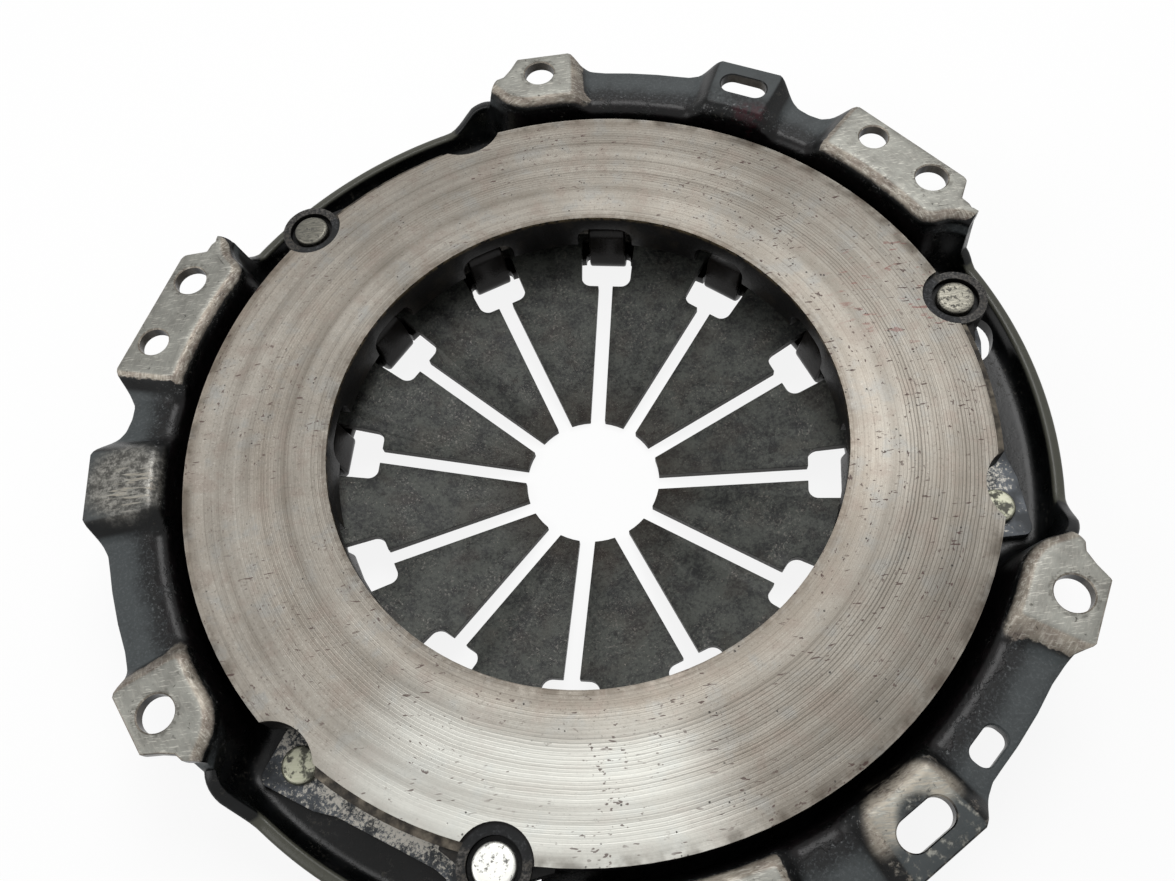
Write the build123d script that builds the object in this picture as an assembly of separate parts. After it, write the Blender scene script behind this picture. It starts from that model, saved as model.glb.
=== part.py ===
from build123d import *
import os
from math import cos, degrees, hypot, radians, sin, tan

# Diaphragm-spring clutch cover assembly: a pressed steel cover, a cast iron pressure plate hung on three
# packs of spring-steel straps, and a diaphragm spring held between two wire rings by twelve hooked tabs.
#
# Millimetres. The origin is the centre of the bolt circle on the face that bolts to the flywheel, +Z points
# to the flywheel, and the first single-bolt foot lies on +Y. The cover repeats three times, clockwise.

# ---------------------------------------------------------------- clearances
touch_gap = 0.05            # between the spring and each wire ring, and between ring and cover or tab
leaf_gap = 0.01             # between two leaves of a strap pack
rivet_gap = 0.1             # rivet shank to its hole, on the radius
window_gap = 1.8            # tab to the outer end of its window in the spring
ridge_gap = 0.15            # lever ridge of the pressure plate to the spring

# ---------------------------------------------------------------- places round the axis, in degrees
sectors = 3
fingers = 12
bolt_angle = 90             # single-bolt foot
slot_angle = 60             # foot with the tooling slot
dowel_bolt_angle = 30       # foot with a bolt and a dowel hole
dowel_angle = 40
lug_angle = 13.2            # rivet of the drive lug
cover_rivet_angle = -16.9   # rivet of the same strap pack in the cover
land_slot_angle = 71.1      # small slot in one of the lands
finger_slot_angle = 19      # first slot between two fingers

# ---------------------------------------------------------------- cover
sheet = 3.2                 # thickness of the pressed steel
bolt_hole_radius = 4.5
dowel_hole_radius = 4.1
tooling_slot = (14.0, 7.0)
tooling_inset = 0.9         # its middle inside the bolt circle
land_slot = (9.6, 5.8)
land_slot_corner = 2.4
land_slot_inset = 1.8       # its middle inside the bolt circle
land_margin = 2.9           # edge of the lands between the feet, outside the bolt circle
foot_margin = 2.8           # metal between a bolt hole and the edge of its foot
foot_chamfer = 3.0          # cut corners of the feet, on the radius
foot_inner = 3.0            # the feet start this far inside the wall
land_drop = 4.8             # lands below the feet
foot_flank = 42             # slope of a foot's flanks from the axis, in degrees
foot_roll = 1.6             # rounding along the flanks
wall_gap = 1.9              # inside of the wall at the shelf, outside the pressure plate
bolt_offset = 14.6          # bolt circle outside the wall
wall_roll = 4.0             # rounding from the wall to the flange
wall_draft = 8              # degrees
shelf_top = -22.4           # shelf that carries the straps
tray_room = 12.6            # inside of the upturned lip at the shelf, outside the lug rivets
tray_corner = 6.0
tray_mouth = 9.0            # rounding where a tray opens into the bowl
tray_low_angle = -22.1      # end of a tray at the shelf, beside the single-bolt foot
tray_high_angle = 22.7      # end of a tray at the shelf, beside the dowel foot
lip_top = -16.0
shelf_roll = 4.0
bowl_floor = -29.2          # inside face of the back plate
bowl_room = 2.0             # inside of the bowl at its floor, outside the spring
bowl_slope = 2.5            # inner edge of the shelf outside the bowl's floor
bowl_roll = 3.0
throat_share = 0.755        # central opening and inner face of the tabs, as a share of the spring
tab_width = 11.0
tab_bend = 2.6              # bend radius on the middle of the sheet
tab_relief = 3.0            # notch beside the root of each tab
tab_overhang = 3.6          # hook past the middle of the upper ring
rivet_access_radius = 8.6   # opening in the shelf below a lug rivet
rivet_access_shift = (3.6, -4.4)    # its second centre, outward and along the strap

# ---------------------------------------------------------------- spring and rings
spring_sheet = 2.4
cone_angle = 13.93          # degrees
tip_radius = 19.1
spring_radius = 94.0
fulcrum_offset = 6.8        # outside the tabs' inner face
ring_wire = 1.9             # radius of the wire
finger_slot_width = 4.3
window_reach = 11.2         # windows start this far inside the tabs
window_inner_width = 14.6
window_outer_width = 16.4
window_corner = 2.8

# ---------------------------------------------------------------- pressure plate
friction_face = -4.5
face_overhang = 11.0        # friction face outside the spring
bore_inset = 3.5            # bore of the plate inside the tabs
plate_thickness = 12.0      # at the bore
bore_rim = 4.5              # width of the thick rim at the bore
ring_room = 6.0             # depth left over the upper ring
zone_thickness = 11.5       # outside the ring recess
rim_thickness = 9.5         # over the straps
ridge_inset = 2.0           # middle of the lever ridge inside the spring's rim
ridge_width = 4.6
ridge_round = 1.0           # bevel along the ridge
ridge_flank = 2.5           # width of its outer flank
recess_room = 4.2           # ring recess outside the fulcrum
relief_width = 16.0         # arched pockets for the tabs
relief_depth = 5.3          # iron left over a pocket
relief_room = 6.2           # pockets outside the fulcrum
relief_corner = 4.0
lug_offset = 1.0            # lug rivets outside the friction face
lug_radius = 8.3
lug_drop = 1.1              # lug below the friction face
lug_web = 13.0              # half the length of a lug's webs
lug_web_drop = 1.5          # webs below the top of the lug
lug_spot = 0.6              # the friction face is cut back round a lug by this much
counterbore_radius = 6.2
counterbore_depth = 1.9
edge_step = 2.0             # lowered edge between a lug and its scallop
edge_step_depth = 1.6
scallop_radius = 11.5
scallop_depth = 5.0         # how far a scallop bites into the rim

# ---------------------------------------------------------------- straps and rivets
leaves = 3
leaf_sheet = 0.7
leaf_half_width = 7.7
leaf_waist = 6.4
leaf_end = 8.0              # beyond the rivet
leaf_corner = 2.5
leaf_neck = 6.0             # length over which a leaf narrows to its waist
leaf_flat = 3.0             # flat past each end before the bend
leaf_bend = 45.0            # bend radius
strap_rise = 3.5            # how far the straps bend up at rest
cover_rivet_offset = 1.5    # outside the friction face
rivet_shank = 3.4
lug_head_radius = 5.0
lug_head_height = 2.3
cover_head_radius = 4.6
cover_head_height = 2.0
closed_head_radius = 5.5
closed_head_height = 2.4
head_bevel = 0.5

# ---------------------------------------------------------------- sizes that follow
throat_radius = throat_share * spring_radius
fulcrum_radius = throat_radius + fulcrum_offset
bowl_radius = spring_radius + bowl_room
shelf_radius = bowl_radius + bowl_slope
face_outer_radius = spring_radius + face_overhang
face_inner_radius = throat_radius - bore_inset
lug_circle_radius = face_outer_radius + lug_offset
cover_rivet_circle = face_outer_radius + cover_rivet_offset
tray_reach = lug_circle_radius + tray_room
wall_radius = face_outer_radius + wall_gap
bolt_circle_radius = wall_radius + bolt_offset
land_reach = bolt_circle_radius + land_margin
foot_reach = bolt_circle_radius + bolt_hole_radius + foot_margin
far = 1.1 * foot_reach      # beyond the whole assembly
ridge_radius = spring_radius - ridge_inset
recess_reach = fulcrum_radius + recess_room
relief_reach = fulcrum_radius + relief_room
window_inner_radius = throat_radius - window_reach
cone = radians(cone_angle)
lower_ring_z = bowl_floor + ring_wire + touch_gap
ring_offset = spring_sheet / 2 + ring_wire + touch_gap
fulcrum_z = lower_ring_z + ring_offset * cos(cone)
lower_ring_radius = fulcrum_radius + ring_offset * sin(cone)
upper_ring_radius = fulcrum_radius - ring_offset * sin(cone)
upper_ring_z = fulcrum_z + ring_offset * cos(cone)
tab_middle = throat_radius + sheet / 2
tab_top = upper_ring_z + ring_wire + touch_gap + sheet
tab_reach = upper_ring_radius + tab_overhang
window_outer_radius = throat_radius + sheet + window_gap
strap_top = shelf_top + leaves * leaf_sheet + (leaves - 1) * leaf_gap
lug_underside = strap_top + strap_rise
lug_top = friction_face - lug_drop
roll_depth = land_drop + wall_roll


def polar(radius, angle, height=0.0):
    """Point at a radius and an angle in degrees round the axis."""
    return (radius * cos(radians(angle)), radius * sin(radians(angle)), height)


def spring_height(radius, side):
    """Height of the cone at a radius: side is 1 for its upper face, 0 for its middle, -1 for its lower."""
    return fulcrum_z + (radius - fulcrum_radius) * tan(cone) + side * spring_sheet / 2 / cos(cone)


def turned(shape, sector):
    """The shape moved on, clockwise, to another sector of the cover."""
    return Rot(0, 0, -360 / sectors * sector) * shape


def turn_solid(points):
    """Solid of revolution round Z from (radius, height) points."""
    profile = make_face(Polyline(*[(r, 0, z) for r, z in points], close=True))
    return revolve(profile, Axis.Z)


def prism(sketch, low, high):
    """Sketch in plan carried from the low to the high level."""
    return extrude(Pos(0, 0, low) * sketch, high - low, dir=(0, 0, 1))


# ---------------------------------------------------------------- cover: the space above the sheet
def bowl_plan(spread):
    """Plan of the bowl and its three trays at the shelf, with rounded corners, spread by a distance."""
    low_side = polar(2 * far, tray_low_angle)[:2]
    high_side = polar(2 * far, tray_high_angle)[:2]
    wedge = Polygon((0, 0), low_side, high_side, align=None)
    plan = Sketch() + Circle(wall_radius)
    for sector in range(sectors):
        plan += turned(Circle(tray_reach) & wedge, sector)
    for rounding in (tray_mouth, -tray_mouth, -tray_corner, tray_corner + spread):
        plan = offset(plan, rounding)
    return plan


def flared_bowl(spread, low, high, flare):
    """Bowl and trays between two levels: spread at the low one, and flaring outward by an angle."""
    return extrude(Pos(0, 0, low) * bowl_plan(spread), high - low, taper=-flare)


def press_form(grow):
    """Space on the flywheel side of the sheet, or of its other face when grown by the sheet's thickness."""
    wall = radians(wall_draft)
    upper = flared_bowl(grow * (1 / cos(wall) - tan(wall)), shelf_top - grow, 1, wall_draft)
    upper = fillet(upper.edges().group_by(Axis.Z)[0], shelf_roll + grow)
    slope = (shelf_radius - bowl_radius) / (shelf_top - bowl_floor)
    bowl_spread = grow * (hypot(1, slope) - slope)
    height = shelf_top - bowl_floor + 1
    lower = Cone(bowl_radius + bowl_spread, bowl_radius + bowl_spread + slope * height, height)
    lower = Pos(0, 0, bowl_floor - grow + height / 2) * lower
    lower = fillet(lower.edges().group_by(Axis.Z)[0], bowl_roll + grow)
    return upper + lower


# ---------------------------------------------------------------- cover: flange
chamfer_reach = foot_reach - foot_chamfer
foot_corners = {
    "bolt": [(land_reach, 81.9), (chamfer_reach, 84.2), (foot_reach, 85.5), (foot_reach, 92.8),
             (land_reach, 94.2), (land_reach - 1.3 * foot_chamfer, 96.2)],
    "slot": [(land_reach - 0.6 * foot_chamfer, 51.6), (foot_reach, 55.6), (foot_reach, 64.5),
             (chamfer_reach, 67.2), (land_reach, 69.2)],
    "dowel": [(land_reach - 0.4 * foot_chamfer, 23.6), (land_reach, 25.4), (foot_reach, 27.2),
              (foot_reach, 44.8), (chamfer_reach, 46.6), (land_reach - 0.6 * foot_chamfer, 49.0)],
}
foot_flats = {"bolt": (85.0, 104), "slot": (55.3, 64.8), "dowel": (14, 45.0)}


def flange_outline():
    """Blanked edge of the flange in one sector: three feet with lands between them."""
    corners = foot_corners["dowel"] + foot_corners["slot"]
    land = ThreePointArc(polar(land_reach, 69.2), polar(land_reach, 75.5), polar(land_reach, 81.9))
    inside = wall_radius / 2
    before = Polyline(polar(inside, 10), *[polar(r, a) for r, a in corners])
    after = Polyline(*[polar(r, a) for r, a in foot_corners["bolt"]], polar(inside, 110), polar(inside, 10))
    return make_face([before, land, after])


def foot_form(low_angle, high_angle, grow):
    """Raised body of a foot with sloping flanks; grown by the thickness, the hollow below the foot."""
    flank = radians(foot_flank)
    inset = grow * (1 / cos(flank) - tan(flank))
    depth = roll_depth + 1

    def level(height, spread):
        inner = wall_radius - foot_inner
        corners = [(inner, low_angle, -1), (far, low_angle, -1), (far, high_angle, 1), (inner, high_angle, 1)]
        return make_face(Polyline(
            *[polar(r, a + side * degrees(spread / r), height) for r, a, side in corners], close=True))

    return loft([level(-grow, -inset), level(-grow - depth, depth * tan(flank) - inset)])


def wall_rolls(level):
    """Spaces that roll the top of the wall outward, in three facets, to meet a flange at this level."""
    facets = 3
    spread = (level - wall_roll - shelf_top) * tan(radians(wall_draft))
    rolls = []
    for facet in range(facets):
        low, high = (radians(90 / facets * turn) for turn in (facet, facet + 1))
        flare = 90 / facets * (facet + 0.5)
        rise = wall_roll * (sin(high) - sin(low))
        start = level - wall_roll * (1 - sin(low))
        rolls.append(flared_bowl(spread, start, start + rise, flare))
        spread += rise * tan(radians(flare))
    rolls.append(prism(bowl_plan(spread), level, 1))
    return rolls


def flange_sector(space, outer_space):
    """Feet and lands of one sector, with the roll that leads down into the bowl."""
    outline = prism(flange_outline(), -roll_depth - 1, 0)
    body = (outline & Pos(0, 0, -land_drop - far / 2) * Box(4 * far, 4 * far, far)) - space
    for roll in wall_rolls(-land_drop):
        body -= roll
    foot_rolls = wall_rolls(0)
    hollow = Pos(0, 0, -land_drop - sheet - far / 2) * Box(4 * far, 4 * far, far)
    for low_angle, high_angle in foot_flats.values():
        foot = foot_form(low_angle, high_angle, 0)
        flanks = [e for e in foot.edges().group_by(Axis.Z)[-1] if not is_across(e)]
        foot = (fillet(flanks, foot_roll) & outline) - space
        for roll in foot_rolls:
            foot -= roll
        body += foot
        hollow += foot_form(low_angle, high_angle, sheet)
    return body - (hollow - outer_space)


def is_across(edge):
    """True for an edge that runs round the axis and not along a radius."""
    direction = edge.position_at(1) - edge.position_at(0)
    middle = edge.position_at(0.5)
    return abs(direction.X * middle.X + direction.Y * middle.Y) < 0.5 * direction.length * middle.length


def make_cover():
    space = press_form(0)
    outer_space = press_form(sheet)
    below_flange = Pos(0, 0, -roll_depth - far / 2) * Box(4 * far, 4 * far, far)
    shell = (outer_space & below_flange) - space
    open_plan = Circle(far) - Circle(wall_radius)
    for sector in range(sectors):
        open_plan -= turned(flange_outline(), sector)
    cover = shell - prism(open_plan, lip_top, far)
    flange = flange_sector(space, outer_space)
    for sector in range(sectors):
        cover += turned(flange, sector)
    return pierce(cover)


def pierce(cover):
    """Holes and slots of the cover, its throat, and the tabs bent up round it."""
    bolt = prism(Circle(bolt_hole_radius), -far, far)
    dowel = prism(Circle(dowel_hole_radius), -far, far)
    rivet = prism(Circle(rivet_shank + rivet_gap), -far, far)
    outward, along = rivet_access_shift
    access_plan = make_hull([
        *(Pos(lug_circle_radius, 0) * Circle(rivet_access_radius)).edges(),
        *(Pos(lug_circle_radius + outward, along) * Circle(rivet_access_radius)).edges()])
    access = prism(access_plan, bowl_floor, lip_top)
    for sector in range(sectors):
        for angle in (bolt_angle, dowel_bolt_angle):
            cover -= turned(Pos(polar(bolt_circle_radius, angle)) * bolt, sector)
        cover -= turned(Pos(polar(bolt_circle_radius, dowel_angle)) * dowel, sector)
        cover -= turned(Pos(polar(cover_rivet_circle, cover_rivet_angle)) * rivet, sector)
        cover -= turned(Rot(0, 0, lug_angle) * access, sector)
    tooling = prism(Rot(0, 0, 90) * SlotOverall(*tooling_slot), -far, far)
    for sector in (0, 1):
        cover -= turned(Rot(0, 0, slot_angle) * Pos(bolt_circle_radius - tooling_inset, 0) * tooling, sector)
    small = prism(RectangleRounded(land_slot[1], land_slot[0], land_slot_corner), -far, far)
    cover -= turned(Rot(0, 0, land_slot_angle) * Pos(bolt_circle_radius - land_slot_inset, 0) * small, 1)

    cover -= prism(Circle(throat_radius), -far, far)
    root = tab_bend + sheet / 2
    notch_plan = Rectangle(throat_radius + root, tab_width + 2 * tab_relief, align=(Align.MIN, Align.CENTER))
    notch = prism(notch_plan, -far, bowl_floor + 1)
    tab = make_tab()
    for finger in range(fingers):
        turn = Rot(0, 0, finger_slot_angle + 360 / fingers * finger)
        cover -= turn * notch
        cover += turn * tab
    return cover


def make_tab():
    """Tab bent up from the back plate, through the spring and outward over the upper ring."""
    floor_middle = bowl_floor - sheet / 2
    path = FilletPolyline(
        (throat_radius + tab_bend + sheet + 2, floor_middle), (tab_middle, floor_middle),
        (tab_middle, tab_top - sheet / 2), (tab_reach, tab_top - sheet / 2), radius=tab_bend)
    return extrude(Plane.XZ * trace(path, sheet), tab_width / 2, both=True)


# ---------------------------------------------------------------- pressure plate
def make_pressure_plate():
    back = friction_face - plate_thickness
    recess = upper_ring_z + ring_wire + ring_room
    zone = friction_face - zone_thickness
    rim = friction_face - rim_thickness
    ridge_low = ridge_radius - ridge_width / 2
    ridge_high = ridge_radius + ridge_width / 2
    crest_low = spring_height(ridge_low, 1) + ridge_gap
    crest_high = spring_height(ridge_high, 1) + ridge_gap
    plate = turn_solid([
        (face_inner_radius, friction_face), (face_outer_radius, friction_face), (face_outer_radius, rim),
        (ridge_high + ridge_flank, rim), (ridge_high, crest_high + ridge_round),
        (ridge_high - ridge_round, crest_high),
        (ridge_low + ridge_round, crest_low + ridge_round * tan(cone)), (ridge_low, crest_low + ridge_round),
        (ridge_low - ridge_flank / 2, zone), (recess_reach + 3, zone), (recess_reach, recess),
        (face_inner_radius + bore_rim + 1, recess),
        (face_inner_radius + bore_rim, back), (face_inner_radius, back)])

    relief_height = 2 * plate_thickness
    arch = RectangleRounded(relief_width, relief_height, relief_corner)
    arch_middle = friction_face - relief_depth - relief_height / 2
    relief = Pos(0, 0, arch_middle) * extrude(Plane.YZ * arch, relief_reach, dir=(1, 0, 0))
    for finger in range(fingers):
        plate -= Rot(0, 0, finger_slot_angle + 360 / fingers * finger) * relief

    lug = prism(Circle(lug_radius), lug_underside, lug_top)
    web_outline = [(-lug_radius, -lug_web), (0, -lug_web), (lug_radius / 2, -lug_radius / 2),
                   (lug_radius / 2, lug_radius / 2), (0, lug_web), (-lug_radius, lug_web)]
    web = prism(Pos(-1, 0) * Polygon(*web_outline, align=None), rim, lug_top - lug_web_drop)
    spot = prism(Circle(lug_radius + lug_spot), lug_top, far)
    counterbore = prism(Circle(counterbore_radius), lug_top - counterbore_depth, far)
    shank = prism(Circle(rivet_shank + rivet_gap), -far, far)
    step_plan = (Circle(far) - Circle(face_outer_radius - edge_step)) & Polygon(
        (0, 0), polar(2 * far, cover_rivet_angle)[:2], polar(2 * far, lug_angle)[:2], align=None)
    step = prism(step_plan, friction_face - edge_step_depth, far)
    scallop_centre = face_outer_radius - scallop_depth + scallop_radius
    scallop = prism(Circle(scallop_radius), -far, far)
    for sector in range(sectors):
        plate -= turned(step, sector)
        at_lug = turned(Pos(polar(lug_circle_radius, lug_angle)) * Rot(0, 0, lug_angle), sector)
        plate += at_lug * web
        plate -= at_lug * spot
        plate += at_lug * lug
        plate -= at_lug * counterbore
        plate -= at_lug * shank
        plate -= turned(Pos(polar(scallop_centre, cover_rivet_angle)) * scallop, sector)
    return plate


# ---------------------------------------------------------------- diaphragm spring
def make_diaphragm_spring():
    spring = turn_solid([
        (r, spring_height(r, side)) for r, side in
        ((tip_radius, -1), (spring_radius, -1), (spring_radius, 1), (tip_radius, 1))])
    window_points = [
        (window_inner_radius, -window_inner_width / 2), (window_outer_radius, -window_outer_width / 2),
        (window_outer_radius, window_outer_width / 2), (window_inner_radius, window_inner_width / 2)]
    window = Polygon(*window_points, align=None)
    window = fillet(window.vertices(), window_corner)
    slot = Rectangle(window_inner_radius + window_corner, finger_slot_width, align=(Align.MIN, Align.CENTER))
    opening = prism(window + slot, -far, far)
    for finger in range(fingers):
        spring -= Rot(0, 0, finger_slot_angle + 360 / fingers * finger) * opening
    return spring


def make_wire_ring(radius, height):
    return Pos(0, 0, height) * Torus(radius, ring_wire)


# ---------------------------------------------------------------- straps and rivets
def strap_place(sector):
    """Frame of a strap: origin on the cover rivet's axis at the strap's top, X to the lug rivet."""
    start = Vector(*polar(cover_rivet_circle, cover_rivet_angle))
    end = Vector(*polar(lug_circle_radius, lug_angle))
    plane = Plane(origin=start + Vector(0, 0, strap_top), x_dir=end - start, z_dir=(0, 0, 1))
    return turned(plane.location, sector), (end - start).length


def make_leaf(span, number):
    """One leaf: waisted in plan, and bent up to the lug between its two flat ends."""
    middle = -(number + 0.5) * leaf_sheet - number * leaf_gap
    path = FilletPolyline(
        (-leaf_end - 1, middle), (leaf_end + leaf_flat, middle),
        (span - leaf_end - leaf_flat, middle + strap_rise), (span + leaf_end + 1, middle + strap_rise),
        radius=leaf_bend)
    strip = extrude(Plane.XZ * trace(path, leaf_sheet), leaf_half_width + 1, both=True)
    half = [(-leaf_end, leaf_half_width), (leaf_end, leaf_half_width), (leaf_end + leaf_neck, leaf_waist),
            (span - leaf_end - leaf_neck, leaf_waist), (span - leaf_end, leaf_half_width),
            (span + leaf_end, leaf_half_width)]
    outline = half + [(x, -y) for x, y in reversed(half)]
    plan = Polygon(*outline, align=None)
    plan = fillet(plan.vertices(), leaf_corner)
    holes = Circle(rivet_shank + rivet_gap) + Pos(span, 0) * Circle(rivet_shank + rivet_gap)
    return strip & prism(plan - holes, -far, far)


def make_rivet(head_radius, head_height, seat, closed):
    """Rivet with a flat head above its seat and a domed closed head below the closed level."""
    head_top = seat + head_height
    closed_bottom = closed - closed_head_height
    return turn_solid([
        (0, head_top), (head_radius - head_bevel, head_top), (head_radius, head_top - head_bevel),
        (head_radius, seat),
        (rivet_shank, seat), (rivet_shank, closed), (closed_head_radius, closed),
        (0.92 * closed_head_radius, closed - closed_head_height / 2),
        (0.65 * closed_head_radius, closed_bottom), (0, closed_bottom)])


# ---------------------------------------------------------------- the pieces
pieces = {
    "cover": make_cover(),
    "pressure_plate": make_pressure_plate(),
    "diaphragm_spring": make_diaphragm_spring(),
    "fulcrum_ring_upper": make_wire_ring(upper_ring_radius, upper_ring_z),
    "fulcrum_ring_lower": make_wire_ring(lower_ring_radius, lower_ring_z),
}
lug_rivet = make_rivet(lug_head_radius, lug_head_height, lug_top - counterbore_depth,
                       shelf_top + strap_rise)
cover_rivet = make_rivet(cover_head_radius, cover_head_height, strap_top, shelf_top - sheet)
for sector in range(sectors):
    name = "abc"[sector]
    place, span = strap_place(sector)
    for number in range(leaves):
        pieces[f"strap_{name}_leaf_{number + 1}"] = place * make_leaf(span, number)
    pieces[f"lug_rivet_{name}"] = turned(Pos(polar(lug_circle_radius, lug_angle)) * lug_rivet, sector)
    pieces[f"cover_rivet_{name}"] = turned(
        Pos(polar(cover_rivet_circle, cover_rivet_angle)) * cover_rivet, sector)

os.makedirs("parts", exist_ok=True)
for name, piece in pieces.items():
    export_step(piece, f"parts/{name}.step")
    print(name, round(piece.volume), "mm3")
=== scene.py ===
# %% [markdown]
# A clutch cover assembly, dressed for rendering.
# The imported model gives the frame: every piece sits where its CAD node sits, in metres, with the
# clutch axis on Z and the flywheel side up. The cells below build finer surfaces over the CAD solids
# and give each one its finish.

# %% Load the frame
import math
from functools import reduce

import bmesh
import bpy
import numpy as np
from mathutils import Matrix, Vector


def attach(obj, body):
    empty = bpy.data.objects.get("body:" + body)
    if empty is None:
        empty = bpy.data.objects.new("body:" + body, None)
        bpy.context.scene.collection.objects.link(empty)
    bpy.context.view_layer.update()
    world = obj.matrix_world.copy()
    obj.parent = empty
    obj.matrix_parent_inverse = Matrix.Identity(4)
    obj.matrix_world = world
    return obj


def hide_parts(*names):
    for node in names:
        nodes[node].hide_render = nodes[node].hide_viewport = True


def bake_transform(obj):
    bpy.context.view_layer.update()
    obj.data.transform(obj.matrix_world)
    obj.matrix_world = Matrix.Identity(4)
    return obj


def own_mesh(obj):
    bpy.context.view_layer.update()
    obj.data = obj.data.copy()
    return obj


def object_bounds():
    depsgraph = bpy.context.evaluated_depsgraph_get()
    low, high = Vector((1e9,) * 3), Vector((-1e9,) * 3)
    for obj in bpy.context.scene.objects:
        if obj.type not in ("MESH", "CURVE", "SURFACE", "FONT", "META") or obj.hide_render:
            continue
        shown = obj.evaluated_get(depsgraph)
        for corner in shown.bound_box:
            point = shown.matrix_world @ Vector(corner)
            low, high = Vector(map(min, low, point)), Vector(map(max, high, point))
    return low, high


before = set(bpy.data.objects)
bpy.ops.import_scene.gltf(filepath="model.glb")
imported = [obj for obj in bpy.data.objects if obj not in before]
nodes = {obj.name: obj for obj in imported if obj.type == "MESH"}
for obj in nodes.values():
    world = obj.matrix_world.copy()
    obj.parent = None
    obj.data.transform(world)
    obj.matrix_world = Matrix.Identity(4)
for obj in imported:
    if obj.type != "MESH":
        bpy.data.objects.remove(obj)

cad_low, cad_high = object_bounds()
mm = 0.001
print("CAD box", [round(v / mm, 1) for v in (*cad_low, *cad_high)])

# %% [markdown]
# Every finish is worked out from the place on the piece, in millimetres, so it is the same from all sides
# and needs no picture. Its nodes could be joined by hand one by one. Here a small class stands for a value
# that changes over the surface and lets it be written in ordinary sums, and a second one holds a tree of
# nodes and adds to it, so a finish reads as a few lines of sums.

# %% Shader values
def math_node(operation, swapped=False):
    """Method that joins a field and another value by a Math node, with the other one first if swapped."""
    def joined(self, other):
        return self.owner.math_of(operation, *((other, self) if swapped else (self, other)))
    return joined


class Field:
    """A number that changes over a surface. Sums, products and powers of fields add Math nodes."""

    def __init__(self, owner, socket):
        self.owner, self.socket = owner, socket

    __add__ = __radd__ = math_node("ADD")
    __mul__ = __rmul__ = math_node("MULTIPLY")
    __sub__, __rsub__ = math_node("SUBTRACT"), math_node("SUBTRACT", swapped=True)
    __truediv__, __pow__ = math_node("DIVIDE"), math_node("POWER")
    most, least = math_node("MAXIMUM"), math_node("MINIMUM")

    def between(self, low, high):
        """Eased rise from 0 at low to 1 at high, or a fall where low is the larger."""
        if low > high:
            return 1 - self.between(high, low)
        return self.owner.node("MapRange", {"interpolation_type": "SMOOTHSTEP"},
                                {"Value": self, "From Min": low, "From Max": high})

    def band(self, low, high, soft):
        """1 from low to high, fading over a soft distance outside them."""
        return self.between(low - soft, low) * self.between(high + soft, high)


def colour(code):
    """Linear colour from a hexadecimal one: below 0.04 divided by 12.92, else the 2.4th power."""
    parts = [int(code[i:i + 2], 16) / 255 for i in (1, 3, 5)]
    return tuple(v / 12.92 if v < 0.04045 else ((v + 0.055) / 1.055) ** 2.4 for v in parts) + (1.0,)


print("a mid grey of #808080 is", round(colour("#808080")[0], 3), "in linear light")

# %% A tree of nodes
class Nodes:
    """The nodes of a material or of the world. node() adds any of them, with its settings first."""

    def __init__(self, owner):
        owner.use_nodes = True
        self.tree = owner.node_tree

    def join(self, value, socket):
        """Links a field to a socket, or sets the socket to a plain value."""
        if isinstance(value, Field):
            self.tree.links.new(value.socket, socket)
        else:
            socket.default_value = value

    def node(self, kind, settings, sockets, output=0):
        """Adds one node and gives one of its outputs."""
        made = self.tree.nodes.new("ShaderNode" + kind)
        for key, value in settings.items():
            setattr(made, key, value)
        for key, value in sockets.items():
            self.join(value, made.inputs[key])
        return Field(self, made.outputs[output])

    def math_of(self, operation, *values):
        """Math node on one or two values: a sum, a product, a sine or another operation by its name."""
        return self.node("Math", {"operation": operation}, dict(enumerate(values)))

    def seen_as(self, direct, otherwise):
        """One number for the camera and for mirrors and glass, and another for all other light."""
        camera_ray = self.node("LightPath", {}, {}, "Is Camera Ray")
        glossy_ray = self.node("LightPath", {}, {}, "Is Glossy Ray")
        return otherwise + (direct - otherwise) * camera_ray.most(glossy_ray)

# %% [markdown]
# The camera looks down on the friction face from the front. It could be aimed by a constraint that tracks
# a target, but its three directions are written out here, because they fix its roll as well.

# %% Camera
camera_place = Vector((5.50, -119.14, 225.05)) * mm
right = Vector((0.99086, -0.11100, -0.07671))
down = Vector((-0.13358, -0.88712, -0.44177))
forward = Vector((-0.01901, 0.44798, -0.89384))

camera_data = bpy.data.cameras.new("camera")
camera_data.sensor_width = 36
camera_data.lens = 30.73
camera_data.clip_start = 0.005
camera = bpy.data.objects.new("camera", camera_data)
camera.matrix_world = Matrix.Translation(camera_place) @ (
    Matrix((right, -down, -forward)).transposed().to_4x4())
bpy.context.collection.objects.link(camera)
bpy.context.scene.camera = camera
print("camera", round(camera_place.length / mm), "mm from the middle of the feet's plane")

# %% [markdown]
# A plain studio: a white floor, a soft light above and behind, and a weaker one at the left. The camera,
# mirrors and glass see a white room of strength 1, while the light that falls on the object is kept at a
# level where a colour comes out about as it is written. The floor is mostly white for the camera, and the
# rest of it is lit, so the object's shadow stays.

# %% Light
room_level, white_level, floor_white = 0.45, 1.0, 0.88


def softbox(name, place, size, power):
    """Square area light at a place, turned to face the middle of the object."""
    light = bpy.data.lights.new(name, "AREA")
    light.energy, light.size = power, size
    lamp = bpy.data.objects.new(name, light)
    facing = (-Vector(place)).to_track_quat("-Z", "Y")
    lamp.matrix_world = Matrix.Translation(Vector(place)) @ facing.to_matrix().to_4x4()
    bpy.context.collection.objects.link(lamp)


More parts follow.
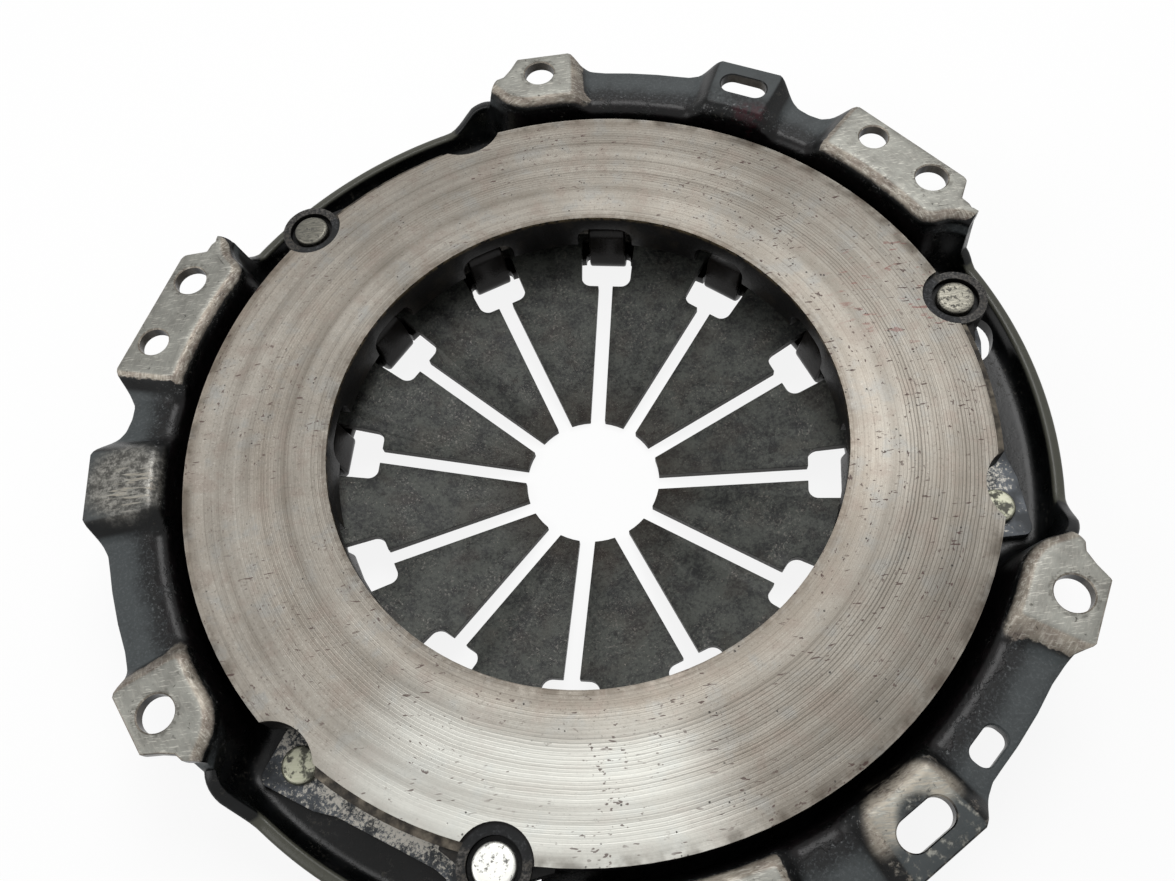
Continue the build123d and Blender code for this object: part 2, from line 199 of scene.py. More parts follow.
softbox("key", (0.15, 0.35, 0.75), 0.45, 4.5)
softbox("fill", (-0.6, -0.1, 0.5), 0.4, 1.6)
world = bpy.data.worlds.new("studio")
bpy.context.scene.world = world
room = Nodes(world)
background = room.tree.nodes["Background"]
room.join((1, 1, 1, 1), background.inputs["Color"])
room.join(room.seen_as(white_level, room_level), background.inputs["Strength"])
bpy.context.scene.view_settings.view_transform = "Standard"
print(len(bpy.data.lights), "lights in a room of level", room_level)

# %% Floor
floor_gap, floor_half, paper_tone = 0.05, 900.0, 0.85
floor_level = cad_low[2] / mm - floor_gap
corners = floor_half * np.array([(-1, -1), (1, -1), (1, 1), (-1, 1)])
floor_points = np.column_stack([corners, np.full(4, floor_level)]) * mm
floor_mesh = bpy.data.meshes.new("floor")
floor_mesh.from_pydata(floor_points.tolist(), [], [(0, 1, 2, 3)])
floor = bpy.data.objects.new("floor", floor_mesh)
bpy.context.collection.objects.link(floor)

paper_material = bpy.data.materials.new("paper")
paper = Nodes(paper_material)
matt = paper.tree.nodes["Principled BSDF"]
paper.join((paper_tone, paper_tone, paper_tone, 1), matt.inputs["Base Color"])
paper.join(0.9, matt.inputs["Roughness"])
lit, glow = Field(paper, matt.outputs[0]), paper.node("Emission", {}, {})
mixed = paper.node("MixShader", {}, {0: paper.seen_as(floor_white, 0), 1: lit, 2: glow})
paper.join(mixed, paper.tree.nodes["Material Output"].inputs["Surface"])
floor.data.materials.append(paper_material)
print("floor at", round(floor_level, 2), "mm")

# %% [markdown]
# Wear is never even, so most marks start from a noise, and what sets them apart is its size, its stretch
# and where it is cut off. The class below adds these patterns to a material, the regions of this object,
# which are mostly rings and directions, and a way to lay coats of colour over one another.

# %% Patterns, regions and coats of a finish
def polar(radius, angle):
    """Points at a radius and an angle in degrees: radius times cosine and sine of the angle."""
    angle = np.radians(angle)
    return np.stack([radius * np.cos(angle), radius * np.sin(angle)], -1)


class Finish(Nodes):
    """A material with the patterns, regions and coats that the finishes of this object need. Plain sockets
    of its shader are set once."""

    def __init__(self, name, **plain):
        self.material = bpy.data.materials.new(name)
        super().__init__(self.material)
        self.shader = self.tree.nodes["Principled BSDF"]
        self.feed(plain)
        where = self.node("TexCoord", {}, {}, "Object")
        facing = self.node("TexCoord", {}, {}, "Normal")
        self.place = self.node("VectorMath", {"operation": "SCALE"}, {"Vector": where, "Scale": 1 / mm})
        self.x, self.y, self.z = (self.part(self.place, axis) for axis in "XYZ")
        self.up = self.part(facing, "Z")
        self.radius = (self.x * self.x + self.y * self.y + 0.01) ** 0.5

    def feed(self, links):
        """Joins values to the sockets of the shader that their names give."""
        for key, value in links.items():
            self.join(value, self.shader.inputs[key.replace("_", " ")])

    def part(self, vector, axis):
        """One part of a vector."""
        return self.node("SeparateXYZ", {}, {"Vector": vector}, axis)

    def noise(self, size, detail=3.0, rough=0.55, at=None):
        """Soft random field from 0 to 1, with marks about a size in millimetres."""
        return self.node("TexNoise", {}, {"Vector": at or self.place, "Scale": 1 / size, "Detail": detail,
                                          "Roughness": rough})

    def spots(self, size):
        """Distance to the nearest of scattered points, 0 at a point and about 1 midway between them."""
        return self.node("TexVoronoi", {}, {"Vector": self.place, "Scale": 1 / size}, "Distance")

    def turned(self, degrees, stretch):
        """Place turned about Z and stretched along its new X, for marks that run one way."""
        return self.node("Mapping", {"vector_type": "POINT"}, {
            "Vector": self.place, "Rotation": (0, 0, math.radians(degrees)), "Scale": (1 / stretch, 1, 1)})

    def around(self, length):
        """Place unrolled round the axis: radius across, and the direction scaled so that a noise mark of
        size 1 is a length in degrees long."""
        spread = math.degrees(1) / length
        return self.node("CombineXYZ", {}, {"X": self.x / self.radius * spread,
                                            "Y": self.y / self.radius * spread, "Z": self.radius})

    def toward(self, degrees, half, soft=3.0):
        """1 within half an angle of a direction: the cosine of the angle between them is compared."""
        cosine, sine = (float(v) for v in polar(1, degrees))
        across = (self.x * cosine + self.y * sine) / self.radius
        return across.between(math.cos(math.radians(half + soft)), math.cos(math.radians(half)))

    def distance(self, radius, *angles):
        """Plan distance from the nearest of the points at a radius and some angles, by Pythagoras."""
        gaps = []
        for x, y in polar(radius, np.array(angles)):
            dx, dy = self.x - float(x), self.y - float(y)
            gaps.append((dx * dx + dy * dy) ** 0.5)
        return reduce(Field.least, gaps)

    def mix(self, first, second, share):
        """Colour from the first to the second as the share goes from 0 to 1."""
        first, second = (colour(tone) if isinstance(tone, str) else tone for tone in (first, second))
        return self.node("Mix", {"data_type": "RGBA"}, {0: share, 6: first, 7: second}, 2)

    def coats(self, base, *layers):
        """Colour with layers laid over it in turn, each a colour and the share of it that shows."""
        for tone, share in layers:
            base = self.mix(base, tone, share)
        return base

    def blend(self, first, second, share):
        """Number from the first to the second: the first plus a share of their difference."""
        return first + (second - first) * share

    def dress(self, height, depth, **links):
        """Feeds the shader. A height from 0 to 1 becomes bumps of a depth in millimetres."""
        bump = self.node("Bump", {}, {"Height": height, "Distance": depth * mm})
        self.feed({**links, "Normal": bump})
        print(self.material.name, len(self.tree.nodes), "nodes")
        return self.material


# %% [markdown]
# A piece can hold several materials, and each of its faces has the number of one of them. The casting
# needs two, the turned face and the rough rest, and the place of a face says which one it takes.

# %% Giving a piece its materials
def give(piece, *materials, pick=None):
    """Gives a piece its materials. The pick says, from the faces' middles, which one each face takes."""
    piece.data.materials.clear()
    for material in materials:
        piece.data.materials.append(material)
    faces = piece.data.polygons
    middles = np.empty((len(faces), 3))
    faces.foreach_get("center", middles.ravel())
    chosen = pick(middles / mm) if pick else np.zeros(len(faces))
    faces.foreach_set("material_index", chosen.astype(int))


# %% [markdown]
# The cover is one pressed sheet. It could be cut out of solids, but then the bends between the walls and
# the flange, which run into each other at the trays, would need a fillet that seldom succeeds. So its
# flywheel side is worked out as a grid: columns run from the central opening outward, and rows follow the
# pressing, along the back plate, up the bowl, over the shelf, up the wall and out along the flange. Each
# point has its own normal, so the back can be laid one thickness behind the front and stays parallel to
# it, as in pressed steel, and the rims can be rounded.

# %% Pressing sizes, in millimetres
sheet, thirds = 3.2, 3
throat_radius = 71.0
bowl_floor, bowl_radius, bowl_roll = -29.2, 96.0, 3.0
shelf_top, shelf_radius, shelf_edge_roll, shelf_roll = -22.4, 98.5, 4.0, 4.0
wall_radius, wall_draft, wall_roll = 106.9, math.radians(8), 4.0
tray_radius, tray_corner = 118.6, 6.0
tray_corner_angles = (19.81, 100.79)
mouth_rolls = (9.0, 16.0)
lip_top, land_drop = -16.0, 4.8
rim, lip_rim = 0.5, 0.9
third_turn = 360 / thirds
print("the bowl is", round(shelf_top - bowl_floor, 2), "mm deep below the shelf")


def smooth(low, high, x):
    """Eased step from 0 at low to 1 at high: three times the share squared less twice its cube."""
    share = np.clip((x - low) / (high - low), 0, 1)
    return share * share * (3 - 2 * share)


def unit(vectors):
    """Each vector divided by its length."""
    return vectors / np.linalg.norm(vectors, axis=-1, keepdims=True)


# %% [markdown]
# The foot of the wall is the line that all else follows. Seen from above, it runs in one third of the
# cover along the outside of a tray, round the tray's corner, through its mouth and along the bowl's wall
# to the next tray. Arcs that touch each other make it, because a press tool is cut that way, and an arc
# keeps its roundness at any spacing of the points.

# %% Columns: the foot of the wall in one third of the cover
tray_step, wall_step, corner_step = 1.6, 0.8, 0.7


def arc(centre, radius, start, stop, step, inward=1):
    """Points centre + radius * direction from the start to the stop angle, with the normals that point
    away from the bowl: the direction itself, or its opposite where the arc bends round the outside."""
    count = max(2, int(abs(math.radians(stop - start)) * radius / step))
    direction = polar(1.0, np.linspace(start, stop, count, endpoint=False))
    return centre + radius * direction, inward * direction


def heading(vector):
    """Angle of a plan vector in degrees."""
    return math.degrees(math.atan2(vector[1], vector[0]))


def mouth_centre(corner_angle, side, roll):
    """Centre of the arc where a tray opens into the bowl: it touches the wall's circle and the tray's
    corner arc, so the law of cosines gives its angle from the corner's centre."""
    far, near = wall_radius + roll, tray_radius - tray_corner
    cosine = (far ** 2 + near ** 2 - (roll + tray_corner) ** 2) / (2 * far * near)
    turn = corner_angle + side * math.degrees(math.acos(cosine))
    return polar(far, turn), turn


# %% The stretches of that line, one after another
tray_a, tray_b = tray_corner_angles
roll_a, roll_b = mouth_rolls
corner_a, corner_b = (polar(tray_radius - tray_corner, turn) for turn in tray_corner_angles)
mouth_a, mouth_a_angle = mouth_centre(tray_a, 1, roll_a)
mouth_b, mouth_b_angle = mouth_centre(tray_b, -1, roll_b)
turn_a, turn_b = heading(mouth_a - corner_a), heading(mouth_b - corner_b)
tray_middle = (tray_a + tray_b) / 2 - third_turn / 2
print("mouths at", round(mouth_a_angle, 2), "and", round(mouth_b_angle, 2), "degrees")

stretches = {
    "tray_a": arc(np.zeros(2), tray_radius, tray_middle, tray_a, tray_step),
    "corner_a": arc(corner_a, tray_corner, tray_a, turn_a, corner_step),
    "mouth_a": arc(mouth_a, roll_a, turn_a + 180, mouth_a_angle + 180, wall_step, -1),
    "wall": arc(np.zeros(2), wall_radius, mouth_a_angle, mouth_b_angle, wall_step),
    "mouth_b": arc(mouth_b, roll_b, mouth_b_angle - 180, turn_b - 180, wall_step, -1),
    "corner_b": arc(corner_b, tray_corner, turn_b, tray_b, corner_step),
    "tray_b": arc(np.zeros(2), tray_radius, tray_b, tray_middle + third_turn, tray_step),
}
place = np.concatenate([points for points, _ in stretches.values()])
normal = np.concatenate([normals for _, normals in stretches.values()])
stretch = np.concatenate([np.repeat(name, len(points)) for name, (points, _) in stretches.items()])
angle = np.degrees(np.arctan2(place[:, 1], place[:, 0]))
columns = len(place)
print(columns, "columns in a third of the cover")

# %% [markdown]
# Three kinds of foot stand up from the flange: one with a bolt hole, one with a slot, and one with a
# bolt and a dowel hole. Their flanks slope, so the height of the flange is an eased step across each
# flank, and the blanked edge is the polygon of the feet's corners and the lands between them.

# %% Feet and lands
foot_reach, land_reach = 128.7, 124.4
foot_spans = {"bolt": (85.0, 125), "slot": (55.3, 64.8), "dowel": (0, 45.0)}
flank_out, flank_in = 5.6, 1.5
edge_corners = {
    "dowel foot": [(foot_reach - 0.5, 26.9), (foot_reach, 27.4), (foot_reach, 44.6), (foot_reach - 0.6, 45.3),
                   (foot_reach - 3, 46.6)],
    "first land": [(land_reach - 1.6, 48.4), (land_reach - 1.9, 50.2), (land_reach - 1.2, 52.0)],
    "slot foot": [(foot_reach - 0.8, 55.2), (foot_reach, 55.9), (foot_reach, 64.2), (foot_reach - 0.6, 65.0),
                  (foot_reach - 3, 67.1)],
    "second land": [(land_reach + 0.2, 68.4), (land_reach, 70.0), (land_reach, 73.0), (land_reach, 77.0),
                    (land_reach, 80.6), (land_reach + 0.7, 82.6)],
    "bolt foot": [(foot_reach - 3, 84.0), (foot_reach, 85.5), (foot_reach, 92.8)],
}
flange_edge = np.array(
    [(land_reach - 1.5, 22.75), (land_reach - 0.9, 24.0), (land_reach - 1.2, 25.2)]
    + sum(edge_corners.values(), [])
    + [(land_reach + 0.6, 94.0), (land_reach - 2.0, 95.2), (land_reach - 2.4, 96.2)])
print(len(flange_edge), "corners in the edge of a third of the flange")


def flange_height(points):
    """Level of the flange: 0 on the feet and a land's drop below between them, with an eased step over
    each flank, where the distance to a foot's side is radius times the sine of the angle to it."""
    radius = np.hypot(points[:, 0], points[:, 1])
    at = np.degrees(np.arctan2(points[:, 1], points[:, 0]))
    level = np.full(len(points), -land_drop)
    for low, high in foot_spans.values():
        inside = radius * np.sin(np.radians(np.minimum(at - low, high - at)).clip(-1, 1))
        level = np.maximum(level, land_drop * (smooth(-flank_out, flank_in, inside) - 1))
    return level


def flange_normal(points, step=0.05):
    """Unit normal of the flange: up, less the slope of its height in x and in y."""
    slopes = [(flange_height(points + shift) - flange_height(points - shift)) / (2 * step)
              for shift in np.eye(2) * step]
    return unit(np.column_stack([-slopes[0], -slopes[1], np.ones(len(points))]))


def edge_at(angles):
    """Point of the blanked edge at each angle, along the straight runs between its corners."""
    knots = polar(flange_edge[:, 0], flange_edge[:, 1])
    upto = np.searchsorted(flange_edge[:, 1], angles).clip(1, len(knots) - 1)
    first, run = knots[upto - 1], knots[upto] - knots[upto - 1]
    ray = polar(1.0, angles)
    before = first[:, 1] * ray[:, 0] - first[:, 0] * ray[:, 1]
    share = before / (run[:, 0] * ray[:, 1] - run[:, 1] * ray[:, 0])
    return first + share[:, None].clip(0, 1) * run


# %% Where the flange starts and stops along the wall, and the heights it has there
corner_shares = (0.65, 0.3)
lip_ease_a, lip_ease_b = (4, 4.0), (14, 9.0)
roll_reach = wall_roll + 2.4

index = np.arange(columns)
at_corner_a, at_corner_b = np.flatnonzero(stretch == "corner_a"), np.flatnonzero(stretch == "corner_b")
cut_a = at_corner_a[int(len(at_corner_a) * (1 - corner_shares[0]))]
cut_b = at_corner_b[int(len(at_corner_b) * corner_shares[1])]
has_flange = (index >= cut_a) & (index <= cut_b)
roll_place = place + normal * roll_reach
roll_height = np.where(has_flange, flange_height(roll_place), 0)

along = np.concatenate([[0], np.cumsum(np.hypot(*np.diff(place, axis=0).T))])
lip = np.full(columns, lip_top)
for cut, (length, rise), beyond in ((cut_b, lip_ease_b, index > cut_b), (cut_a, lip_ease_a, index < cut_a)):
    lip = lip + rise * smooth(length, 0, np.abs(along - along[cut])) * beyond
print("the flange spans", has_flange.sum(), "of the columns")

# %% [markdown]
# Now the rows, each a line of points all along the third. Flat stretches need few rows, and each bend
# has enough to look round. A row keeps its points in plan, their height, their normals and a drop, which
# is how far a rounded rim lies below the surface there.

# %% Rows of the back plate, the bowl and the shelf
bend_rows, flat_rows = 7, 8
radial, up = polar(1.0, angle), np.array([0, 0, 1.0])


def bend(centre, radius, start, stop):
    """Bend in radius and height: centre plus radius times the cosine and sine of an evenly run angle."""
    return np.array(centre) + polar(radius, np.linspace(start, stop, bend_rows))


def rounding(radius):
    """Steps over a rounded rim: distance still to go to the rim, and the drop below the surface there."""
    turn = np.radians([0, 30, 60, 90])
    return list(zip(radius * (1 - np.sin(turn)), radius * (1 - np.cos(turn))))


def tilted(direction, u, z):
    """Normals with a part u along plan directions and a part z upward."""
    return np.column_stack([direction * u, np.full(columns, z)])


def bowl_profile():
    """Radius, height and normal of the back plate, the bend up the bowl and the bend over onto the shelf.
    On a bend the normal is its own direction, or the opposite where the bend is hollow."""
    slope = math.degrees(math.atan2(shelf_top - bowl_floor, shelf_radius - bowl_radius))
    tangent = math.tan(math.radians(slope / 2))
    low_centre = (bowl_radius - bowl_roll * tangent, bowl_floor + bowl_roll)
    high_centre = (shelf_radius + shelf_edge_roll * tangent, shelf_top - shelf_edge_roll)
    hollow = bend(low_centre, bowl_roll, -90, slope - 90)
    raised = bend(high_centre, shelf_edge_roll, 90 + slope, 90)
    flat = np.linspace(throat_radius + rim, low_centre[0] - 0.5, flat_rows)[:, None]
    return np.concatenate([flat * [1, 0, 0, 0] + [0, bowl_floor, 0, 1],
                           np.column_stack([hollow, (low_centre - hollow) / bowl_roll]),
                           np.column_stack([raised, (raised - high_centre) / shelf_edge_roll])])


def bowl_rows():
    """Back plate from its rounded edge outward, then the bend up the bowl and the one onto the shelf."""
    edge = reversed(rounding(rim))
    return ([((throat_radius + left) * radial, bowl_floor, up, drop) for left, drop in edge]
            + [(radius * radial, z, tilted(radial, u, w), 0) for radius, z, u, w in bowl_profile()])


def shelf_rows(start):
    """Shelf from the bowl to the wall's foot, and the roll up into the wall, which leans by its draft."""
    foot_u = -shelf_roll / math.tan((math.pi / 2 + wall_draft) / 2)
    run = place + normal * foot_u - start
    rows = [(start + run * share, shelf_top, up, 0) for share in (1 / 3, 2 / 3)]
    centre = np.array([foot_u, shelf_top + shelf_roll])
    for point in bend(centre, shelf_roll, -90, -math.degrees(wall_draft)):
        rows.append((place + normal * point[0], point[1], tilted(normal, *(centre - point) / shelf_roll), 0))
    return rows


# %% [markdown]
# The wall leans outward by its draft, so that the sheet leaves the press tool. Under a foot or a land it
# bends outward onto the flange, and at a tray it ends in a rounded lip instead. The same rows serve both,
# with heights that differ from column to column, so the mesh needs no seam between them.

# %% Rows of the wall, its roll and the flange
def wall_rows():
    """Wall up to the start of the roll, or up to the rounded lip of a tray. The distance out from the
    wall's foot is the height times the tangent of the draft."""
    low = shelf_top + shelf_roll * (1 - math.sin(wall_draft))
    high = np.where(has_flange, roll_height - wall_roll * (1 - math.sin(wall_draft)), lip)
    levels = [(low + (high - lip_rim - low) * share, 0) for share in (0.25, 0.5, 0.75, 1)]
    levels += [(high - left, np.where(has_flange, 0, drop)) for left, drop in rounding(lip_rim)[1:]]
    outward = tilted(normal, -math.cos(wall_draft), math.sin(wall_draft))
    return [(place + normal * ((z - shelf_top) * math.tan(wall_draft))[:, None], z, outward, drop)
            for z, drop in levels]


def roll_rows():
    """Roll onto the flange, a quarter bend whose normal swings from the wall's to the flange's."""
    over = flange_normal(roll_place)
    lean = (roll_height - wall_roll * (1 - math.sin(wall_draft)) - shelf_top) * math.tan(wall_draft)
    rows = []
    for turn in np.linspace(math.pi - wall_draft, math.pi / 2, bend_rows + 1)[1:]:
        u = lean + wall_roll * (math.cos(wall_draft) + math.cos(turn))
        swung = unit(tilted(normal, math.cos(turn), 0) + over * math.sin(turn))
        rows.append((place + normal * u[:, None], roll_height - wall_roll * (1 - math.sin(turn)), swung, 0))
    return rows


def flange_rows(start):
    """Flange from the end of the roll to the blanked edge, rounded there. Along the wall a column keeps its
    angle, and beyond it the angles run evenly on to the ends of the edge."""
    wall_first, wall_last = np.flatnonzero(stretch == "wall")[[0, -1]]
    before = np.interp(index, [cut_a, wall_first], [flange_edge[0, 1], mouth_a_angle])
    beyond = np.interp(index, [wall_last, cut_b], [mouth_b_angle, flange_edge[-1, 1]])
    edge = edge_at(np.select([index <= wall_first, index <= wall_last], [before, angle], beyond))
    run = edge - start
    length = np.linalg.norm(run, axis=1, keepdims=True).clip(0.05)
    rims = [(edge - run / length * np.minimum(left, 0.5 * length), drop) for left, drop in rounding(rim)]
    flats = [(start + (rims[0][0] - start) * share, 0) for share in np.linspace(0, 1, flat_rows)[1:-1]]
    return [(flat, np.where(has_flange, flange_height(flat), 0), flange_normal(flat), drop)
            for flat, drop in flats + rims]


# %% The flywheel side of one third
corner_drop = 0.3
rows = bowl_rows()
rows += shelf_rows(rows[-1][0])
rows += wall_rows()
first_roll = len(rows)
rows += roll_rows()
rows += flange_rows(rows[-1][0])

third = np.stack([np.column_stack([plan, np.broadcast_to(z, columns)]) for plan, z, _, _ in rows])
third_normals = np.stack([np.broadcast_to(normals, (columns, 3)) for _, _, normals, _ in rows])
third_drops = np.stack([np.broadcast_to(drop, columns) for *_, drop in rows]).astype(float)
third_drops[first_roll:, [cut_a, cut_b]] = third_drops[first_roll:, [cut_a, cut_b]].clip(corner_drop)
kept = np.ones((len(rows) - 1, columns), bool)
kept[first_roll - 1:] = has_flange & np.roll(has_flange, -1)
print(len(rows), "rows of", columns, "points, and", kept.sum(), "faces")

# %% [markdown]
# Some helpers turn arrays of points into meshes. They work with whole arrays, which is far quicker than
# adding one corner at a time, and a closed skin always has its faces pointing outwards.

# %% Mesh helpers
def turned(points, degrees):
    """Points turned about the clutch axis: x and y mixed by the cosine and sine of the angle."""
    c, s = math.cos(math.radians(degrees)), math.sin(math.radians(degrees))
    return points @ np.array([[c, s, 0], [-s, c, 0], [0, 0, 1]])


def grid_faces(rings, sides, join_ends=False):
    """Four corners of every cell between closed rings of points. The last ring joins the first if asked."""
    ring, side = np.mgrid[:rings if join_ends else rings - 1, :sides]
    after, beside = (ring + 1) % rings, (side + 1) % sides
    return np.stack([ring * sides + side, after * sides + side,
                     after * sides + beside, ring * sides + beside], -1)


def shaded(mesh, sharp_angle):
    """Faces that meet below the angle, in degrees, are shaded as one surface."""
    mesh.polygons.foreach_set("use_smooth", np.ones(len(mesh.polygons), bool))
    mesh.set_sharp_from_angle(angle=math.radians(sharp_angle))


def make_object(name, points, faces, sharp_angle=None):
    """Mesh object from points in millimetres, shaded smooth where a sharp angle is given."""
    mesh = bpy.data.meshes.new(name)
    mesh.from_pydata((np.asarray(points) * mm).tolist(), [], [list(map(int, face)) for face in faces])
    mesh.update()
    if sharp_angle:
        shaded(mesh, sharp_angle)
    piece = bpy.data.objects.new(name, mesh)
    bpy.context.collection.objects.link(piece)
    return piece


def applied(piece, sharp_angle):
    """The piece with its modifiers worked into its mesh."""
    evaluated = piece.evaluated_get(bpy.context.evaluated_depsgraph_get())
    mesh = bpy.data.meshes.new_from_object(evaluated)
    piece.modifiers.clear()
    piece.data = mesh
    shaded(mesh, sharp_angle)
    return piece


# %% Closed skins
def shell(rings):
    """Closed skin over a stack of rings with equal counts: sides between them and a face on each end."""
    count = len(rings[0])
    sides = grid_faces(len(rings), count).reshape(-1, 4)[:, ::-1].tolist()
    first, last = np.arange(count)[::-1], np.arange(count) + count * (len(rings) - 1)
    return np.concatenate(rings), sides + [first.tolist(), last.tolist()]


def prism(outline, levels):
    """Closed prism over a plan outline, through levels that give a height and how much the outline grows
    there: outline points move away from their middle by the growth."""
    away = unit(outline - outline.mean(axis=0))
    return shell([np.column_stack([outline + away * grow, np.full(len(outline), z)]) for z, grow in levels])


def gather(parts):
    """Several (points, faces) shells as one."""
    points, faces, start = [], [], 0
    for part_points, part_faces in parts:
        points.append(part_points)
        faces += [[v + start for v in face] for face in part_faces]
        start += len(part_points)
    return np.concatenate(points), faces


square = np.array([(1, 1), (-1, 1), (-1, -1), (1, -1)])
print("a square prism has", len(prism(square, [(0, 0), (1, 0)])[1]), "faces")

# %% [markdown]
# The back of the sheet is the front moved along its own normals. A Solidify modifier would do that too,
# but it would take its normals from the faces, which jump at the flanks of the feet, and it couldn't
# round the blanked edges.

# %% The cover's sheet
def thicken(points, normals, drops, faces, thickness):
    """Closed sheet over a grid. The front lies a drop below the surface, the back a drop above its far side,
    both along the normals, and a strip of faces joins them along every edge that only one face uses."""
    drops = drops[..., None]
    front = (points - normals * drops).reshape(-1, 3)
    back = (points - normals * (thickness - drops)).reshape(-1, 3)
    count = len(front)
    edges = np.concatenate([np.stack([faces[:, k], faces[:, (k + 1) % 4]], -1) for k in range(4)])
    codes, reverse = edges[:, 0] * count + edges[:, 1], edges[:, 1] * count + edges[:, 0]
    border = edges[~np.isin(codes, reverse)]
    strip = np.stack([border[:, 1], border[:, 0], border[:, 0] + count, border[:, 1] + count], -1)
    every_face = np.concatenate([faces, faces[:, ::-1] + count, strip])
    used, renumbered = np.unique(every_face, return_inverse=True)
    return np.concatenate([front, back])[used], renumbered.reshape(-1, 4)


surface, outward = (np.concatenate([turned(part, third_turn * k) for k in range(thirds)], axis=1)
                    for part in (third, third_normals))
faces = grid_faces(len(rows), thirds * columns)[np.tile(kept, thirds)]
cover = make_object("cover_pressing",
                    *thicken(surface, outward, np.tile(third_drops, thirds), faces, sheet))
print("sheet:", len(faces), "faces on one side")

# %% [markdown]
# Twelve tabs are cut free at the edge of the central opening, bent up through the spring and folded
# outward over the upper wire ring. Each is a rounded strip carried along a bent path. They become one
# piece with the sheet by a Boolean union, because on the real cover they are the same metal.

# %% Strips along a bent path
def bent_path(corners, radius, step=0.5):
    """Points along a line that turns at its corners with arcs. An arc starts its radius times the tangent
    of half the turn before the corner. Each point comes with the line's direction there."""
    corners = np.array(corners, float)
    legs = unit(np.diff(corners, axis=0))
    points, ways = [corners[0]], [legs[0]]
    for corner, into, out in zip(corners[1:], legs, legs[1:]):
        turn = math.acos(np.clip(into @ out, -1, 1))
        side = math.copysign(1, into[0] * out[1] - into[1] * out[0])
        start = corner - into * radius * math.tan(turn / 2)
        across = np.array([-into[1], into[0]]) * side
        for part in np.linspace(0, turn, max(3, int(turn * radius / step) + 1)):
            points.append(start + across * radius * (1 - math.cos(part)) + into * radius * math.sin(part))
            ways.append(into * math.cos(part) + across * math.sin(part))
    return np.array(points + [corners[-1]]), np.array(ways + [legs[-1]])


def rounded_rectangle(width, depth, corner, count):
    """Plan points of a rectangle with rounded corners: four quarter arcs joined by straight sides."""
    quarter = np.linspace(0, 90, count)
    return np.concatenate([np.array([x * (width / 2 - corner), y * (depth / 2 - corner)])
                           + polar(corner, start + quarter)
                           for x, y, start in ((1, 1, 0), (-1, 1, 90), (-1, -1, 180), (1, -1, 270))])


def strip(path, ways, width, thickness, radius):
    """Closed strip in the plane of radius and height: the section stands across the path, and shrinks over
    the last bit at each end, so the ends are rounded too."""
    ends, inner = rounding(radius), len(path) - 2
    left, drops = np.array(ends)[:, :1], [drop for _, drop in ends]
    path = np.concatenate([path[0] + ways[0] * (radius - left[::-1]), path[1:-1], path[-1] - ways[-1] * left])
    ways = np.concatenate([[ways[0]] * len(ends), ways[1:-1], [ways[-1]] * len(ends)])
    rings = []
    for (u, z), (along, rise), less in zip(path, ways, drops[::-1] + [0] * inner + drops):
        section = rounded_rectangle(width - 2 * less, thickness - 2 * less, max(radius - less, 0.06), 4)
        rings.append(np.column_stack([u - rise * section[:, 1], section[:, 0], z + along * section[:, 1]]))
    return shell(rings)


# %% [markdown]
# The press also pierces the cover: threaded bolts and dowels hold it to the flywheel through its feet,
# long slots and one short one save weight, and openings in the shelf let a tool reach the rivets of the
# straps. Every hole is a prism, and one Boolean difference takes them all out together.

# %% Holes, slots and notches
bolt_circle, bolt_hole, bolt_angles = 121.5, 4.5, (90, 30)
dowel_hole, dowel_angle = 4.1, 40
long_slot_circle, long_slot_angles = 120.6, (60, 60 - third_turn)
short_slot_circle, short_slot_angle = 119.7, 71.1 - third_turn
lug_circle, lug_angle = 106.0, 13.2
cover_rivet_circle, cover_rivet_angle, rivet_hole = 106.5, -16.9, 3.5
access_hole, access_shift, access_levels = 8.6, np.array([3.6, -4.4]), [(-29, 0), (-17, 0)]
first_tab_angle, tabs_count, tab_width, tab_relief = 19, 12, 11.0, 1.4
notch_start, notch_reach, notch_corner = 60, throat_radius + 2.2, 1.4
notch_levels = [(-40, 0), (-25, 0)]
edge_break, cutter_depth = 0.35, -60


def circle(radius, count=40):
    """Plan points of a circle: its radius times the cosine and sine of even steps of a turn."""
    return polar(radius, np.arange(count) * 360 / count)


def placed(outline, radius, degrees):
    """Outline moved out along a radius and turned to an angle."""
    moved = np.column_stack([outline + np.array([radius, 0]), np.zeros(len(outline))])
    return turned(moved, degrees)[:, :2]


def through(outline, top):
    """Cutter for a hole from a face at the top, with a small chamfer there."""
    return prism(outline, [(cutter_depth, 0), (top - edge_break, 0), (top + 1, 1 + edge_break)])


# %% The cutter
access = circle(access_hole)
shifted_half = access @ unit(access_shift) >= 0
access[shifted_half] += access_shift
long_slot, short_slot = rounded_rectangle(7, 14, 3.45, 10), rounded_rectangle(5.8, 9.6, 2.4, 10)

holes = []
for k in range(thirds):
    for radius, degrees, outline, top in (
            *((bolt_circle, bolt_angle, circle(bolt_hole), 0) for bolt_angle in bolt_angles),
            (bolt_circle, dowel_angle, circle(dowel_hole), 0),
            (cover_rivet_circle, cover_rivet_angle, circle(rivet_hole), shelf_top)):
        holes.append(through(placed(outline, radius, degrees - third_turn * k), top))
    holes.append(prism(placed(access, lug_circle, lug_angle - third_turn * k), access_levels))
holes += [through(placed(long_slot, long_slot_circle, degrees), 0) for degrees in long_slot_angles]
holes.append(through(placed(short_slot, short_slot_circle, short_slot_angle), -land_drop))

